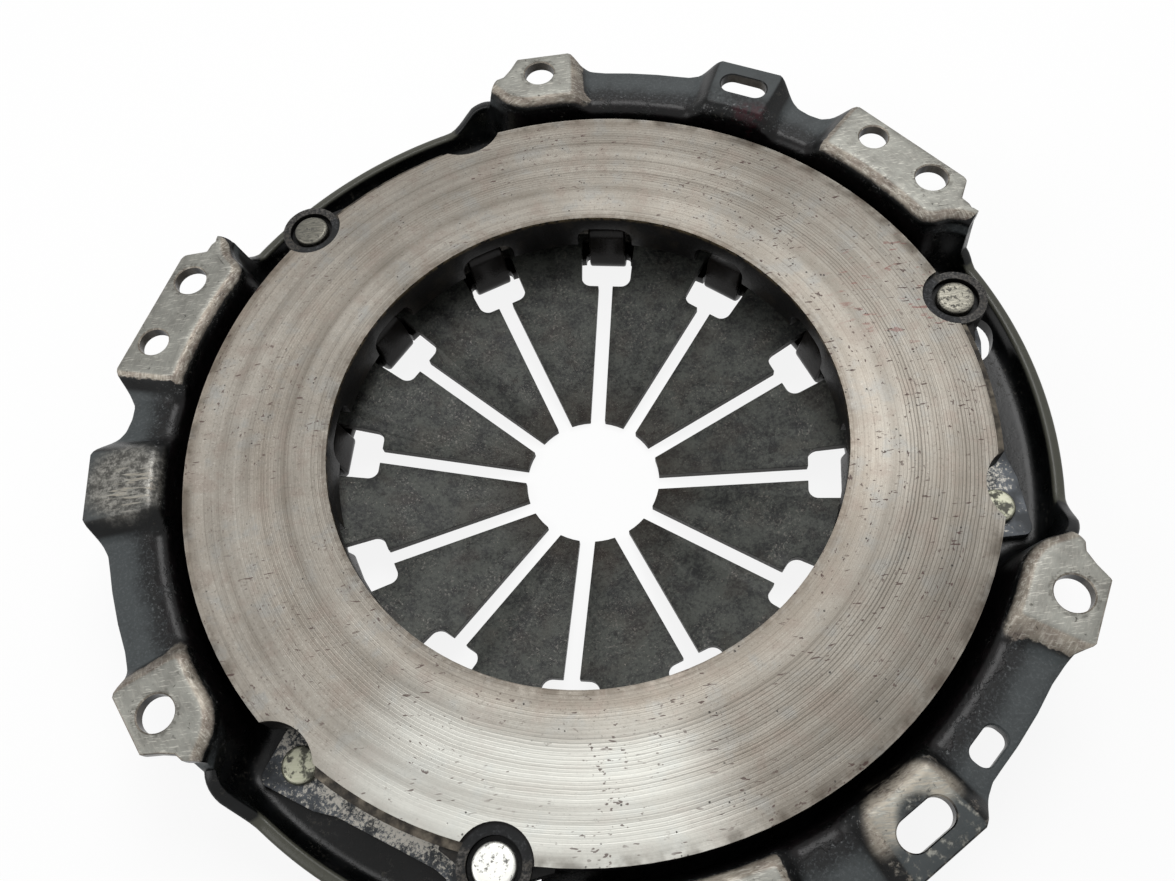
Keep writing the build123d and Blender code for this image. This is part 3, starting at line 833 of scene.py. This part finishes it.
notch_half = tab_width / 2 + tab_relief
notch_ends = [np.array([notch_reach - notch_corner, y * (notch_half - notch_corner)])
              + polar(notch_corner, np.linspace(start, start + 90, 6)) for y, start in ((-1, -90), (1, 0))]
notch = np.concatenate([[(notch_start, notch_half), (notch_start, -notch_half)], *notch_ends])
tab_angles = first_tab_angle + 360 / tabs_count * np.arange(tabs_count)
holes += [prism(placed(notch, 0, degrees), notch_levels) for degrees in tab_angles]
cutter = make_object("cutter", *gather(holes))
print(len(holes), "holes, slots and notches")

# %% Tabs, and the finished cover
tab_root, tab_foot, tab_stem, tab_tip = notch_reach + 0.4, 69.6, 72.6, 80.6
tab_floor, tab_top, tab_bend, tab_edge = bowl_floor - sheet / 2, -17.58, 2.6, 0.6
tab_path = bent_path([(tab_root, tab_floor), (tab_foot, tab_floor), (tab_stem, tab_top), (tab_tip, tab_top)],
                     tab_bend)
tab_points, tab_faces = strip(*tab_path, tab_width, sheet - 0.01, tab_edge)
tabs = make_object("tabs", *gather([(turned(tab_points, degrees), tab_faces) for degrees in tab_angles]))
for name, operation, tool in (("holes", "DIFFERENCE", cutter), ("tabs", "UNION", tabs)):
    change = cover.modifiers.new(name, "BOOLEAN")
    change.operation, change.solver, change.object = operation, "EXACT", tool
cover = applied(cover, 35)
for tool in (cutter, tabs):
    bpy.data.objects.remove(tool)
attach(cover, "cover")
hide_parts("cover")
print("cover:", len(cover.data.polygons), "faces after cutting and joining")

# %% [markdown]
# The pressure plate, the diaphragm spring and the strap leaves are machined, ground or blanked pieces
# with true edges, so their CAD shapes are right as they are. What a CAD solid lacks is the small broken
# edge that catches the light. Each gets a copy whose loose triangles are merged, whose flat areas become
# single faces, and whose corners get a narrow bevel.

# %% Copies with broken edges
def softened(node, name, width, sharp=25, flat=0.4):
    """Copy of a CAD node with its doubles merged, its flat areas joined and a bevel on each sharp edge."""
    mesh = nodes[node].data.copy()
    form = bmesh.new()
    form.from_mesh(mesh)
    bmesh.ops.remove_doubles(form, verts=form.verts, dist=0.002 * mm)
    bmesh.ops.dissolve_limit(form, angle_limit=math.radians(flat), verts=form.verts, edges=form.edges)
    form.to_mesh(mesh)
    form.free()
    piece = bpy.data.objects.new(name, mesh)
    bpy.context.collection.objects.link(piece)
    bevel = piece.modifiers.new("edges", "BEVEL")
    bevel.width, bevel.segments, bevel.limit_method = width * mm, 2, "ANGLE"
    bevel.angle_limit, bevel.use_clamp_overlap = math.radians(sharp), True
    piece = applied(piece, sharp)
    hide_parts(node)
    print(name, len(piece.data.polygons), "faces")
    return piece


plate = softened("pressure_plate", "plate_casting", 0.3)
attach(plate, "pressure_plate")

# %% [markdown]
# The diaphragm spring goes flat when the plate is drawn back. Here it gets a copy with broken edges like
# the others, carried by the cover, with a mesh of its own.

# %% Diaphragm spring
spring = softened("diaphragm_spring", "spring_disc", 0.25)
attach(spring, "cover")
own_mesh(spring)

# %% [markdown]
# Rivets and wire rings are round. A ready-made cylinder or torus has no rolled shoulder and no dome, so
# each is a profile turned about an axis. A rivet's manufactured head is flat with a rolled shoulder, and
# its other head is closed by the tool into a low dome.

# %% Turned shapes
def lathe(profile, count=64):
    """Skin of a profile of radius and height turned about Z, from its lowest point on the axis to its
    highest. The end faces of the shell give way to fans of triangles round the two points on the axis."""
    around = np.arange(count)
    after = np.roll(around, -1)
    rings = [np.column_stack([polar(radius, around * 360 / count), np.full(count, z)])
             for radius, z in profile[1:-1]]
    points, faces = shell(rings)
    lowest, highest, top_ring = np.full(count, len(points)), len(points) + 1, len(points) - count
    fans = (np.column_stack([lowest, after, around]),
            np.column_stack([np.full(count, highest), top_ring + around, top_ring + after]))
    tips = [(0, 0, profile[0][1]), (0, 0, profile[-1][1])]
    return np.concatenate([points, tips]), faces[:-2] + np.concatenate(fans).tolist()


def torus(radius, wire, height, rings=144, sides=20):
    """Ring of wire: a circle of points carried round the axis, closed both ways."""
    section = polar(wire, np.arange(sides) * 360 / sides)
    flat = polar(1.0, np.arange(rings) * 360 / rings)[:, None, :] * (radius + section[:, 0])[None, :, None]
    level = np.broadcast_to(height + section[:, 1], (rings, sides))[..., None]
    faces = grid_faces(rings, sides, join_ends=True)
    return np.concatenate([flat, level], -1).reshape(-1, 3), faces.reshape(-1, 4)


def rivet_profile(head, height, seat, closed, shank=3.4, closed_head=5.5, closed_height=2.4):
    """Radius and height of a rivet from its closed head up to its top. Shoulders are quarter arcs, and the
    closed head is a low dome: its height falls with the square of the radius."""
    shoulder, top = 0.45 * height, seat + height
    rolled = (head - shoulder, top - shoulder) + polar(shoulder, np.linspace(90, 0, 7))
    share = np.linspace(1, 0, 9)
    dome = np.column_stack([closed_head * share, closed - closed_height * (1 - 0.75 * share ** 2)])
    downward = [(0, top), (0.5 * head, top), *rolled, (head, seat + 0.1), (head - 0.1, seat),
                (shank, seat), (shank, closed), (closed_head - 0.2, closed), *dome]
    return downward[::-1]


# %% Wire rings
ring_wire = 1.9
wire_rings = []
for name, radius, height in (("upper", 77.04, -21.13), ("lower", 78.56, -27.25)):
    ring = make_object(f"wire_ring_{name}", *torus(radius, ring_wire, height), sharp_angle=60)
    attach(ring, "cover")
    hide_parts(f"fulcrum_ring_{name}")
    wire_rings.append(ring)
print(len(wire_rings), "wire rings")

# %% Rivets
strap_rise, strap_top, counterbore_floor = 3.5, -20.28, -7.5
lug_profile = rivet_profile(5.0, 2.3, counterbore_floor, shelf_top + strap_rise)
cover_profile = rivet_profile(4.6, 2.0, strap_top, shelf_top - sheet)
rivets = []
for kind, body, circle_radius, degrees, profile in (
        ("lug", "pressure_plate", lug_circle, lug_angle, lug_profile),
        ("cover", "cover", cover_rivet_circle, cover_rivet_angle, cover_profile)):
    points, faces = lathe(profile)
    for number, letter in enumerate("abc"):
        points_here = turned(points + np.array([circle_radius, 0, 0]), degrees - third_turn * number)
        rivet = make_object(f"{kind}_rivet_head_{letter}", points_here, faces, sharp_angle=40)
        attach(rivet, body)
        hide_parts(f"{kind}_rivet_{letter}")
        rivets.append(rivet)
print(len(rivets), "rivets with", len(profile), "points in their profile")

# %% [markdown]
# Three thin leaves make each strap. One end is riveted to the cover and the other to the pressure plate.
# Each leaf gets a copy with broken edges, with its place worked into its mesh.

# %% Strap leaves
leaves = []
for number, letter in enumerate("abc"):
    for leaf_number in (1, 2, 3):
        leaf = softened(f"strap_{letter}_leaf_{leaf_number}", f"leaf_{letter}_{leaf_number}", 0.12)
        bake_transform(leaf)
        leaves.append(leaf)
print(len(leaves), "strap leaves")

# %% [markdown]
# The friction face is cast iron, turned on a lathe and then worn by the clutch disc. Its bands of colour
# are rings, so they come from a noise that is stretched round the axis until it is almost only a function
# of the radius, and the turning grooves are a sine of the radius with a little wander. Short dark marks and
# pits are scattered over them. The metal reflects in a stretched way across the grooves, which is what
# the shader's anisotropy does on a surface whose tangent runs round the axis.

# %% Finish of the friction face
groove_pitch = 0.9


def turning_grooves(f):
    """Sine of the radius, bent by a slow noise, and shown where another noise lets it be deep."""
    wander = f.noise(22, 2) * 9 + f.noise(3, 2, at=f.around(20)) * 4
    wave = f.math_of("SINE", f.radius * (2 * math.pi / groove_pitch) + wander)
    depth = f.noise(10, 3, at=f.around(40)).between(0.38, 0.66) * (0.5 + f.y.between(30, -40) * 0.5)
    return wave.between(0.3, 0.97) * depth


def disc_marks(f):
    """Short dark marks: some follow the rings, and some lie across them where the disc dragged dirt."""
    ring_marks = f.noise(1.05, 2, at=f.around(1.1)).between(0.655, 0.7) * f.noise(14, 2).between(0.44, 0.6)
    dashes = f.noise(0.8, 1, at=f.turned(-4, 3.4)).between(0.69, 0.73) * f.noise(17, 2).between(0.46, 0.58)
    return ring_marks.most(dashes)


def worn_face():
    """Rings: colour is bands by radius, bumps are turning grooves, with pits and smudges over them."""
    f = Finish("worn_face", Anisotropic=0.55)
    rings = f.around(160)
    wide, fine = f.noise(5.5, 2, at=rings), f.noise(0.45, 2, 0.7, at=rings)
    cloud, hue, grain = f.noise(26, 3), f.noise(7, 4, 0.6), f.noise(0.6, 4, 0.75)
    film = f.noise(9, 5, 0.62, at=f.around(9))
    tone = (wide * 0.55 + cloud * 0.35 + film * 0.4 + 0.02).between(0.38, 0.92)
    grooves, marks = turning_grooves(f), disc_marks(f)
    tan_bands = f.noise(15, 2, at=f.around(30)).between(0.5, 0.68)
    # painted shade: the face is darkened toward the right, the back, the lower right and the upper right
    painted_shade = ((f.x * 0.003).between(0, 0.3) * 0.3 + f.toward(84, 24, 40) * 0.27
            + f.toward(-50, 12, 22) * 0.3 + f.toward(30, 8, 20) * 0.14)
    # painted highlight: a pale streaky sheen near the bore at the front of the face
    painted_highlight = f.toward(-104, 14, 18) * f.radius.between(70, 84)
    rim_dirt = f.radius.between(101.2, 104.6) * f.noise(6, 3).between(0.36, 0.66)
    bore_dirt = f.radius.between(70.4, 67.9) * f.noise(3.0, 4, 0.7).between(0.3, 0.62)
    smudge = f.noise(1.6, 2, at=f.turned(12, 3)).between(0.6, 0.68) * f.distance(94, 18).between(24, 10)
    pits = f.spots(2.6).between(0.11, 0.07) * f.noise(7, 3).between(0.5, 0.6)
    metal = f.coats(
        f.mix("#6a635a", "#a5a097", tone),
        ("#86796b", tan_bands * 0.5),
        ("#888d8e", hue.between(0.52, 0.68) * tone * 0.5),
        ("#877b72", hue.between(0.48, 0.34) * 0.45),
        ("#c4c0b7", grain.between(0.55, 0.7) * 0.55 * tone),
        ("#4e473f", grain.between(0.45, 0.32) * 0.5),
        ("#443d36", grooves * 0.26),
        ("#4b443c", fine.between(0.5, 0.72) * 0.3),
        ("#3d3a35", painted_shade),
        ("#d6d8d2", painted_highlight * (0.25 + (wide * 0.5 + film * 0.5).between(0.3, 0.6) * 0.3)),
        ("#453b31", rim_dirt.most(bore_dirt) * 0.5),
        ("#5e3431", smudge * 0.6),
        ("#452e2b", marks * 0.72),
        ("#1d1917", pits * 0.85))
    rough = 0.33 + 0.14 * film + 0.14 * grooves + 0.2 * marks + 0.25 * rim_dirt + 0.12 * grain
    relief = fine * 0.35 + 0.35 * (1 - grooves) + 0.2 * grain - 0.9 * pits - 0.1 * marks
    return f.dress(relief, 0.07, Base_Color=metal, Metallic=0.9 - 0.45 * marks.most(pits), Roughness=rough)


# %% [markdown]
# Away from the face the plate is as cast, black with oil and brown where dust settled in it. A single
# colour would look like paint, so a coarse grain breaks it up, and the places where the tools and the
# strap packs rub are brighter.

# %% Finish of the cast iron
plate_face, face_reach = -4.5, 105.1


def oily_casting():
    """Cast iron away from the face: black with oil, brown where dust settled, with a coarse cast grain."""
    f = Finish("oily_casting", Specular_IOR_Level=0.2)
    grain, patches = f.noise(0.8, 5, 0.7), f.noise(7, 4, 0.6)
    speckle = f.noise(3.4, 4, 0.6).between(0.3, 0.8)
    step_ledge = f.up.between(0.8, 0.95) * f.z.band(-6.5, -5.9, 0.2)
    bore_lip = f.z.between(-6.2, -4.6) * f.radius.between(69.5, 68) * f.noise(2.4, 4, 0.7).between(0.4, 0.6)
    lug = f.distance(lug_circle, *(lug_angle - third_turn * k for k in range(thirds)))
    lug_top = lug.between(8.6, 8.1) * f.z.between(-6.2, -5.8)
    worn_ring = grain.between(0.46, 0.7) * f.noise(4, 2).between(0.4, 0.6)
    rim_wear = f.z.between(-6.0, -4.6) * f.radius.between(103.5, 104.4) * grain.between(0.4, 0.6)
    iron = f.coats(
        f.mix("#070606", "#1b1712", patches.between(0.46, 0.68)),
        (f.mix("#1c1814", "#6b6459", speckle), step_ledge),
        ("#7a6b52", bore_lip * 0.7),
        (f.mix("#131415", "#47484a", worn_ring), lug_top),
        # painted shade: the counterbore round each lug rivet is painted near black
        ("#040404", lug.between(6.5, 6.1)),
        ("#8d857a", rim_wear * 0.8))
    bright = (step_ledge * speckle).most(bore_lip).most(rim_wear)
    return f.dress(grain * 0.7 + patches * 0.3, 0.12, Base_Color=iron, Metallic=0.1 + 0.75 * bright,
                   Roughness=0.3 + 0.3 * grain + 0.1 * patches)


def on_face(middle):
    """Faces of the friction face: those at its level and within its reach."""
    return (middle[:, 2] > plate_face - 0.2) & (np.hypot(middle[:, 0], middle[:, 1]) < face_reach)


give(plate, oily_casting(), worn_face(), pick=on_face)

# %% [markdown]
# The cover is black enamel over pressed steel, wet with oil. The tops of the feet were clamped to the
# flywheel, so the paint is gone there and frays out over the inner roll. How much is gone differs from
# foot to foot, so each has a share of its own, and the fraying is a noise added to the height before the
# edge is cut through it.

# %% Where the paint is gone
foot_wear = {90: 1.0, 60: 0.22, 35: 1.0, -30: 1.0, -60: 0.34, -85: 1.0, 210: 0.9, 180: 0.2, 155: 0.85}
wide_feet = (35, -85, 155)
blank_foot, spare_slot = 180, -60


class Paint:
    """The noises and regions that the steel and the enamel of the cover share."""

    def __init__(self, f):
        self.fray, self.cloud = f.noise(2.1, 5, 0.68), f.noise(9, 3)
        self.leather = f.noise(1.1, 3, 0.65)
        self.speckle, self.fine = f.noise(0.7, 4, 0.75), f.noise(0.35, 2)
        wear = []
        for degrees, share in foot_wear.items():
            half, soft = (10.6, 1.6) if degrees in wide_feet else (7.5, 5)
            wear.append(f.toward(degrees - 1.2, half, soft) * share)
        paint_line = -7.6 + 3.0 * f.radius.between(112.0, 116.5)
        self.level = ((f.z - paint_line) / (-1.0 - paint_line)).between(0, 1)
        self.on_foot = f.z.between(-3.4, -0.6) * f.up.between(0.9, 0.98)
        worn = reduce(Field.most, wear) * self.level * f.up.between(0.2, 0.72)
        self.bare = (worn + (self.fray - 0.5) * 0.7).between(0.34, 0.48)
        self.land = f.z.band(-5.6, -4.2, 1.2) * f.radius.between(110.5, 113)
        self.foot_top = self.on_foot * (1 - self.bare)
        self.flat = self.land.most(self.foot_top)


# %% [markdown]
# Under the paint is steel. On top of the feet it is dull and even, and down the inner roll it is rubbed in
# streaks that follow the pressing. Fine straight scuffs in two directions, a dull ring round each bolt
# hole where the bolt's head sat, and dark stains keep it from looking like a clean sheet.

# %% Bare steel of the feet
def foot_steel(f, paint):
    """Colour of the bare steel, and the scuffs on it. Painted shade darkens it toward the foot of the inner
    roll and where it slopes away from the top.
    """
    blotch = (paint.cloud * 0.6 + f.noise(3.4, 4, 0.6) * 0.5).between(0.34, 0.74)
    streak = f.noise(0.5, 3, 0.6, at=f.around(2.2)).between(0.45, 0.75)
    stain = f.noise(1.6, 5, 0.7).between(0.58, 0.66) * f.noise(6, 2).between(0.45, 0.6)
    head_ring = f.distance(bolt_circle, 90, 30, -30, -90, 210, 150).band(4.5, 5.6, 0.5)
    scuffs = f.noise(0.42, 2, at=f.turned(35, 9)).between(0.6, 0.66).most(
        f.noise(0.42, 2, at=f.turned(-50, 9)).between(0.62, 0.68))
    steel = f.coats(
        f.mix("#57514a", "#8d867b", blotch),
        (f.mix("#6a6964", "#7e7e78", blotch), paint.on_foot),
        ("#b9b5ab", streak * (0.55 - paint.on_foot * 0.4)),
        ("#5e4a48", (1 - paint.on_foot) * f.noise(5, 2).between(0.42, 0.66) * 0.2),
        ("#2b2724", stain * 0.8),
        ("#37342f", head_ring * f.noise(1.5, 3).between(0.45, 0.6) * 0.45),
        ("#c9c6bd", scuffs * 0.28))
    # painted shade: the steel goes to near black brown lower down and on slopes, with a ragged edge
    light = (paint.level * 0.5 + f.up.between(0.4, 0.85) * 0.55 + (paint.fray - 0.5) * 0.6).between(0.3, 0.86)
    return f.mix("#1d1a18", steel, light), scuffs


# %% [markdown]
# The enamel is nearly black in the bowl, where oil lies on it, and satin on the lands, lighter toward
# their outer edge. Dust, small chips down the outer wall, one dark red blush beside a slot foot and the
# rubbed top of the blank foot lie over it.

# %% Enamel
def cover_enamel(f, paint):
    """Colour of the enamel, with its dust, its chips and the rubbed blank foot as shares."""
    cloud, speckle, fray = paint.cloud, paint.speckle, paint.fray
    outer = f.radius.between(113.2, 120.5) * 0.8 + (cloud - 0.5) * 0.9 + (paint.leather - 0.5) * 0.5
    lighter = outer.between(0, 0.9).most(paint.foot_top * (cloud + paint.leather).between(0.7, 1.3))
    dust = f.noise(1.2, 5, 0.75).between(0.56, 0.66) * f.noise(11, 3).between(0.42, 0.62)
    outer_wall = f.z.between(-12, -6) * f.radius.between(117, 112)
    chips = speckle.between(0.57, 0.62) * f.noise(4.5, 3).between(0.46, 0.6) * outer_wall
    blush = f.distance(112.2, 56.6).between(4.8, 1.2).most(f.distance(111.6, 58.6).between(4.2, 1))
    blank = f.distance(118.5, blank_foot).between(13, 7) * f.z.between(-5, -1)
    rubbed = f.mix("#3f3e3b", "#8b8983", (fray * 0.7 + speckle * 0.4).between(0.45, 0.72))
    enamel = f.coats(
        f.mix("#050606", "#101112", cloud.between(0.4, 0.7)),
        (f.mix("#090a0b", "#3b3f40", lighter), paint.flat),
        ("#5d6163", speckle.between(0.5, 0.64) * paint.land * 0.3),
        ("#4a4741", dust * 0.5 * (1 - paint.land * 0.6)),
        ("#9b9c9c", chips * 0.4),
        ("#26080f", blush * fray.between(0.4, 0.56)),
        (rubbed, blank))
    return enamel, dust, chips, blank


# %% [markdown]
# The finish of the cover puts steel and enamel together where the paint is gone, in an arc round one slot
# and in gouges on the blank foot. Then come the things that lie over both: light blanked edges, soot in
# the inner roll, the rubbed rim of the trays with a painted highlight on it, thick tar and the dark hooks
# of the tabs.

# %% Finish of the cover
def worn_enamel():
    """Bare steel where wear times height plus noise passes a threshold, enamel elsewhere."""
    f = Finish("worn_enamel", Specular_IOR_Level=0.2)
    paint = Paint(f)
    fray, leather = paint.fray, paint.leather
    steel, scuffs = foot_steel(f, paint)
    enamel, dust, chips, blank = cover_enamel(f, paint)

    arc_band = f.distance(119.5, spare_slot).band(6.4, 10.6, 2.4) * f.radius.between(122.5, 118)
    arc_rub = arc_band * (fray + 0.28).between(0.5, 0.7)
    gouges = (f.noise(0.9, 2, at=f.turned(-62, 9)).between(0.5, 0.58)
              * f.distance(117.6, blank_foot + 1.0).between(8.5, 4.6))
    brush = 0.9 * f.noise(0.45, 3, 0.65, at=f.turned(28, 8)).between(0.38, 0.6)
    metal = paint.bare.most(arc_rub).most(gouges) * f.up.between(-0.4, -0.15)

    blanked_edge = f.z.between(-6.5, -3.6) * f.radius.between(122.6, 124.0) * f.up.between(0.6, 0.2)
    # rubbed paint and a painted highlight: the rounded lip of each tray is painted olive grey
    tray_rim_rub_and_highlight = f.z.band(-16.9, -15.8, 0.5) * f.radius.between(117, 118.5) * f.up.between(0.1, 0.7)
    soot = f.noise(1.5, 5, 0.75).between(0.5, 0.58) * f.z.between(-1.2, -4.5) * f.radius.between(117, 113.5)
    roll = (f.z.between(-3.4, -5.0) * f.z.between(-22, -16)
            * f.radius.between(106, 109) * f.radius.between(116, 114))
    tar = (f.noise(4.5, 4, 0.7) + f.radius.between(115.5, 111.5) * 0.3).between(0.66, 0.76) * roll
    shade = f.coats(
        enamel,
        (f.mix(steel, "#8a8479", arc_rub.most(gouges) * brush), metal),
        (f.mix("#45423d", "#857f76", fray), blanked_edge * 0.7),
        ("#0d0c0c", soot * 0.85),
        ("#4d4d44", tray_rim_rub_and_highlight * 0.7),
        (f.mix("#040404", "#0c090a", fray.between(0.4, 0.6)), tar),
        (f.mix("#030303", "#15100d", fray), f.radius.between(82, 80) * 0.95))

    metallic = (metal * (1 - soot)).most(chips * 0.4).most(blank * 0.5) * 0.85
    enamel_rough = 0.2 + 0.16 * paint.cloud + 0.3 * dust + 0.22 * paint.flat
    rough = f.blend(enamel_rough, 0.42 + 0.2 * fray, metal)
    relief = (tar * (0.5 + fray * 1.4) + (1 - metal) * leather * 0.7
              + (0.25 - 0.2 * metal) * f.noise(1.6, 2) + 0.2 * paint.fine
              - 0.12 * metal + 0.2 * dust - 0.1 * scuffs * metal)
    return f.dress(relief, 0.06, Base_Color=shade, Metallic=metallic * (1 - tar),
                   Roughness=f.blend(rough, 0.3, tar))


give(cover, worn_enamel())

# %% [markdown]
# The spring is rolled spring steel with a blotchy dark skin. The strap leaves are the same steel, rubbed
# bright along the middle. The rivets are plain steel: brushed where they sit in the lugs, and dirty on
# the cover. The rings are drawn wire. Each is a few noises of different size laid over one another,
# because real skins vary at more than one scale.

# %% Finish of the spring
def spring_steel():
    """Blotchy dark skin, lighter scratches along the fingers and brown near their tips."""
    f = Finish("spring_steel", Specular_IOR_Level=0.35)
    blotch, fine = f.noise(5.5, 5, 0.68), f.noise(0.9, 4, 0.7)
    black = f.noise(3.2, 4, 0.7).between(0.56, 0.64) * f.noise(14, 2).between(0.4, 0.6)
    brown = f.radius.between(34, 21) * 0.6 + f.noise(10, 3).between(0.5, 0.66) * 0.4
    flecks = f.noise(0.5, 3, 0.7).between(0.66, 0.7)
    rubbed = f.noise(0.6, 2, at=f.around(1.4)).between(0.56, 0.68) * f.noise(9, 2).between(0.45, 0.6)
    cut_side = f.up.between(0.55, 0.2)
    skin = f.coats(
        f.mix("#0e0f0f", "#383a36", (blotch * 0.6 + fine * 0.5).between(0.42, 0.66)),
        ("#0b0a0a", black * 0.75),
        ("#30241b", brown * 0.4),
        ("#8b857c", flecks * 0.5),
        ("#6d6862", rubbed * 0.3),
        ("#2b2723", cut_side * 0.5))
    return f.dress(fine * 0.8 + blotch * 0.5 - 0.3 * black, 0.1, Base_Color=skin,
                   Metallic=0.4 + 0.4 * flecks, Roughness=0.38 + 0.22 * blotch - 0.1 * rubbed)


give(spring, spring_steel())


# %% Finish of the straps
def strap_steel():
    """Slate blue skin, speckled bright along the middle of the strap."""
    f = Finish("strap_steel")
    speckle, cloud = f.noise(0.8, 5, 0.75), f.noise(6, 3)
    middle = f.radius.between(96, 99.5) * f.radius.between(111, 104.5)
    wear = speckle + (cloud - 0.5) * 0.5 + middle * 0.14 + f.y.between(-55, -90) * 0.06
    rubbed = wear.between(0.58, 0.71)
    skin = f.mix(f.mix("#1f2225", "#43474c", cloud.between(0.38, 0.66)), "#a8a49b", rubbed * 0.8)
    return f.dress(speckle * 0.6 + cloud * 0.4, 0.04, Base_Color=skin,
                   Metallic=0.5 + 0.4 * rubbed, Roughness=0.34 + 0.2 * speckle)


strap_skin = strap_steel()
for leaf in leaves:
    give(leaf, strap_skin)


# %% Finish of the rivets
def rivet_steel(name, clean, dirt, amount, painted_light_share, mark_size):
    """Brushed metal with dirt where a noise passes the amount. The last share sets how strongly the heads are
    painted lighter at the front of the cover, a painted highlight, and darker at its left, painted shade."""
    f = Finish(name)
    brushed = f.noise(0.35, 3, at=f.turned(30, 6))
    marks = f.noise(mark_size, 5, 0.7).between(amount - 0.02, amount + 0.1)
    side = f.up.between(0.75, 0.3)
    skin = f.coats(
        f.mix(clean, "#aaa698", brushed.between(0.3, 0.8) * 0.6),
        # painted highlight on the heads at the front, painted shade on those at the left
        ("#f0f0ea", f.y.between(-85, -100) * (0.8 * painted_light_share)),
        ("#3a3a37", f.x.between(-45, -85) * (0.55 * painted_light_share)),
        (dirt, (marks * 0.8).most(side * 0.75)))
    return f.dress(brushed * 0.5 - marks, 0.05, Base_Color=skin, Metallic=0.85 - 0.6 * marks,
                   Roughness=0.36 + 0.12 * brushed + 0.2 * marks)


lug_metal = rivet_steel("brushed_rivet", "#5f5d56", "#1d1b19", 0.55, painted_light_share=1, mark_size=1.3)
cover_metal = rivet_steel("dirty_rivet", "#9a9b88", "#15140f", 0.5, painted_light_share=0, mark_size=2.5)
for rivet in rivets:
    give(rivet, lug_metal if rivet.name.startswith("lug") else cover_metal)


# %% Finish of the rings
def ring_steel():
    """Drawn wire, dark with a long fine grain."""
    f = Finish("ring_steel")
    grain = f.noise(0.3, 3, at=f.around(4))
    return f.dress(grain, 0.02, Base_Color=f.mix("#25221f", "#5f5b55", grain.between(0.35, 0.7)),
                   Metallic=0.8, Roughness=0.35 + 0.2 * grain)


wire_skin = ring_steel()
for ring in wire_rings:
    give(ring, wire_skin)
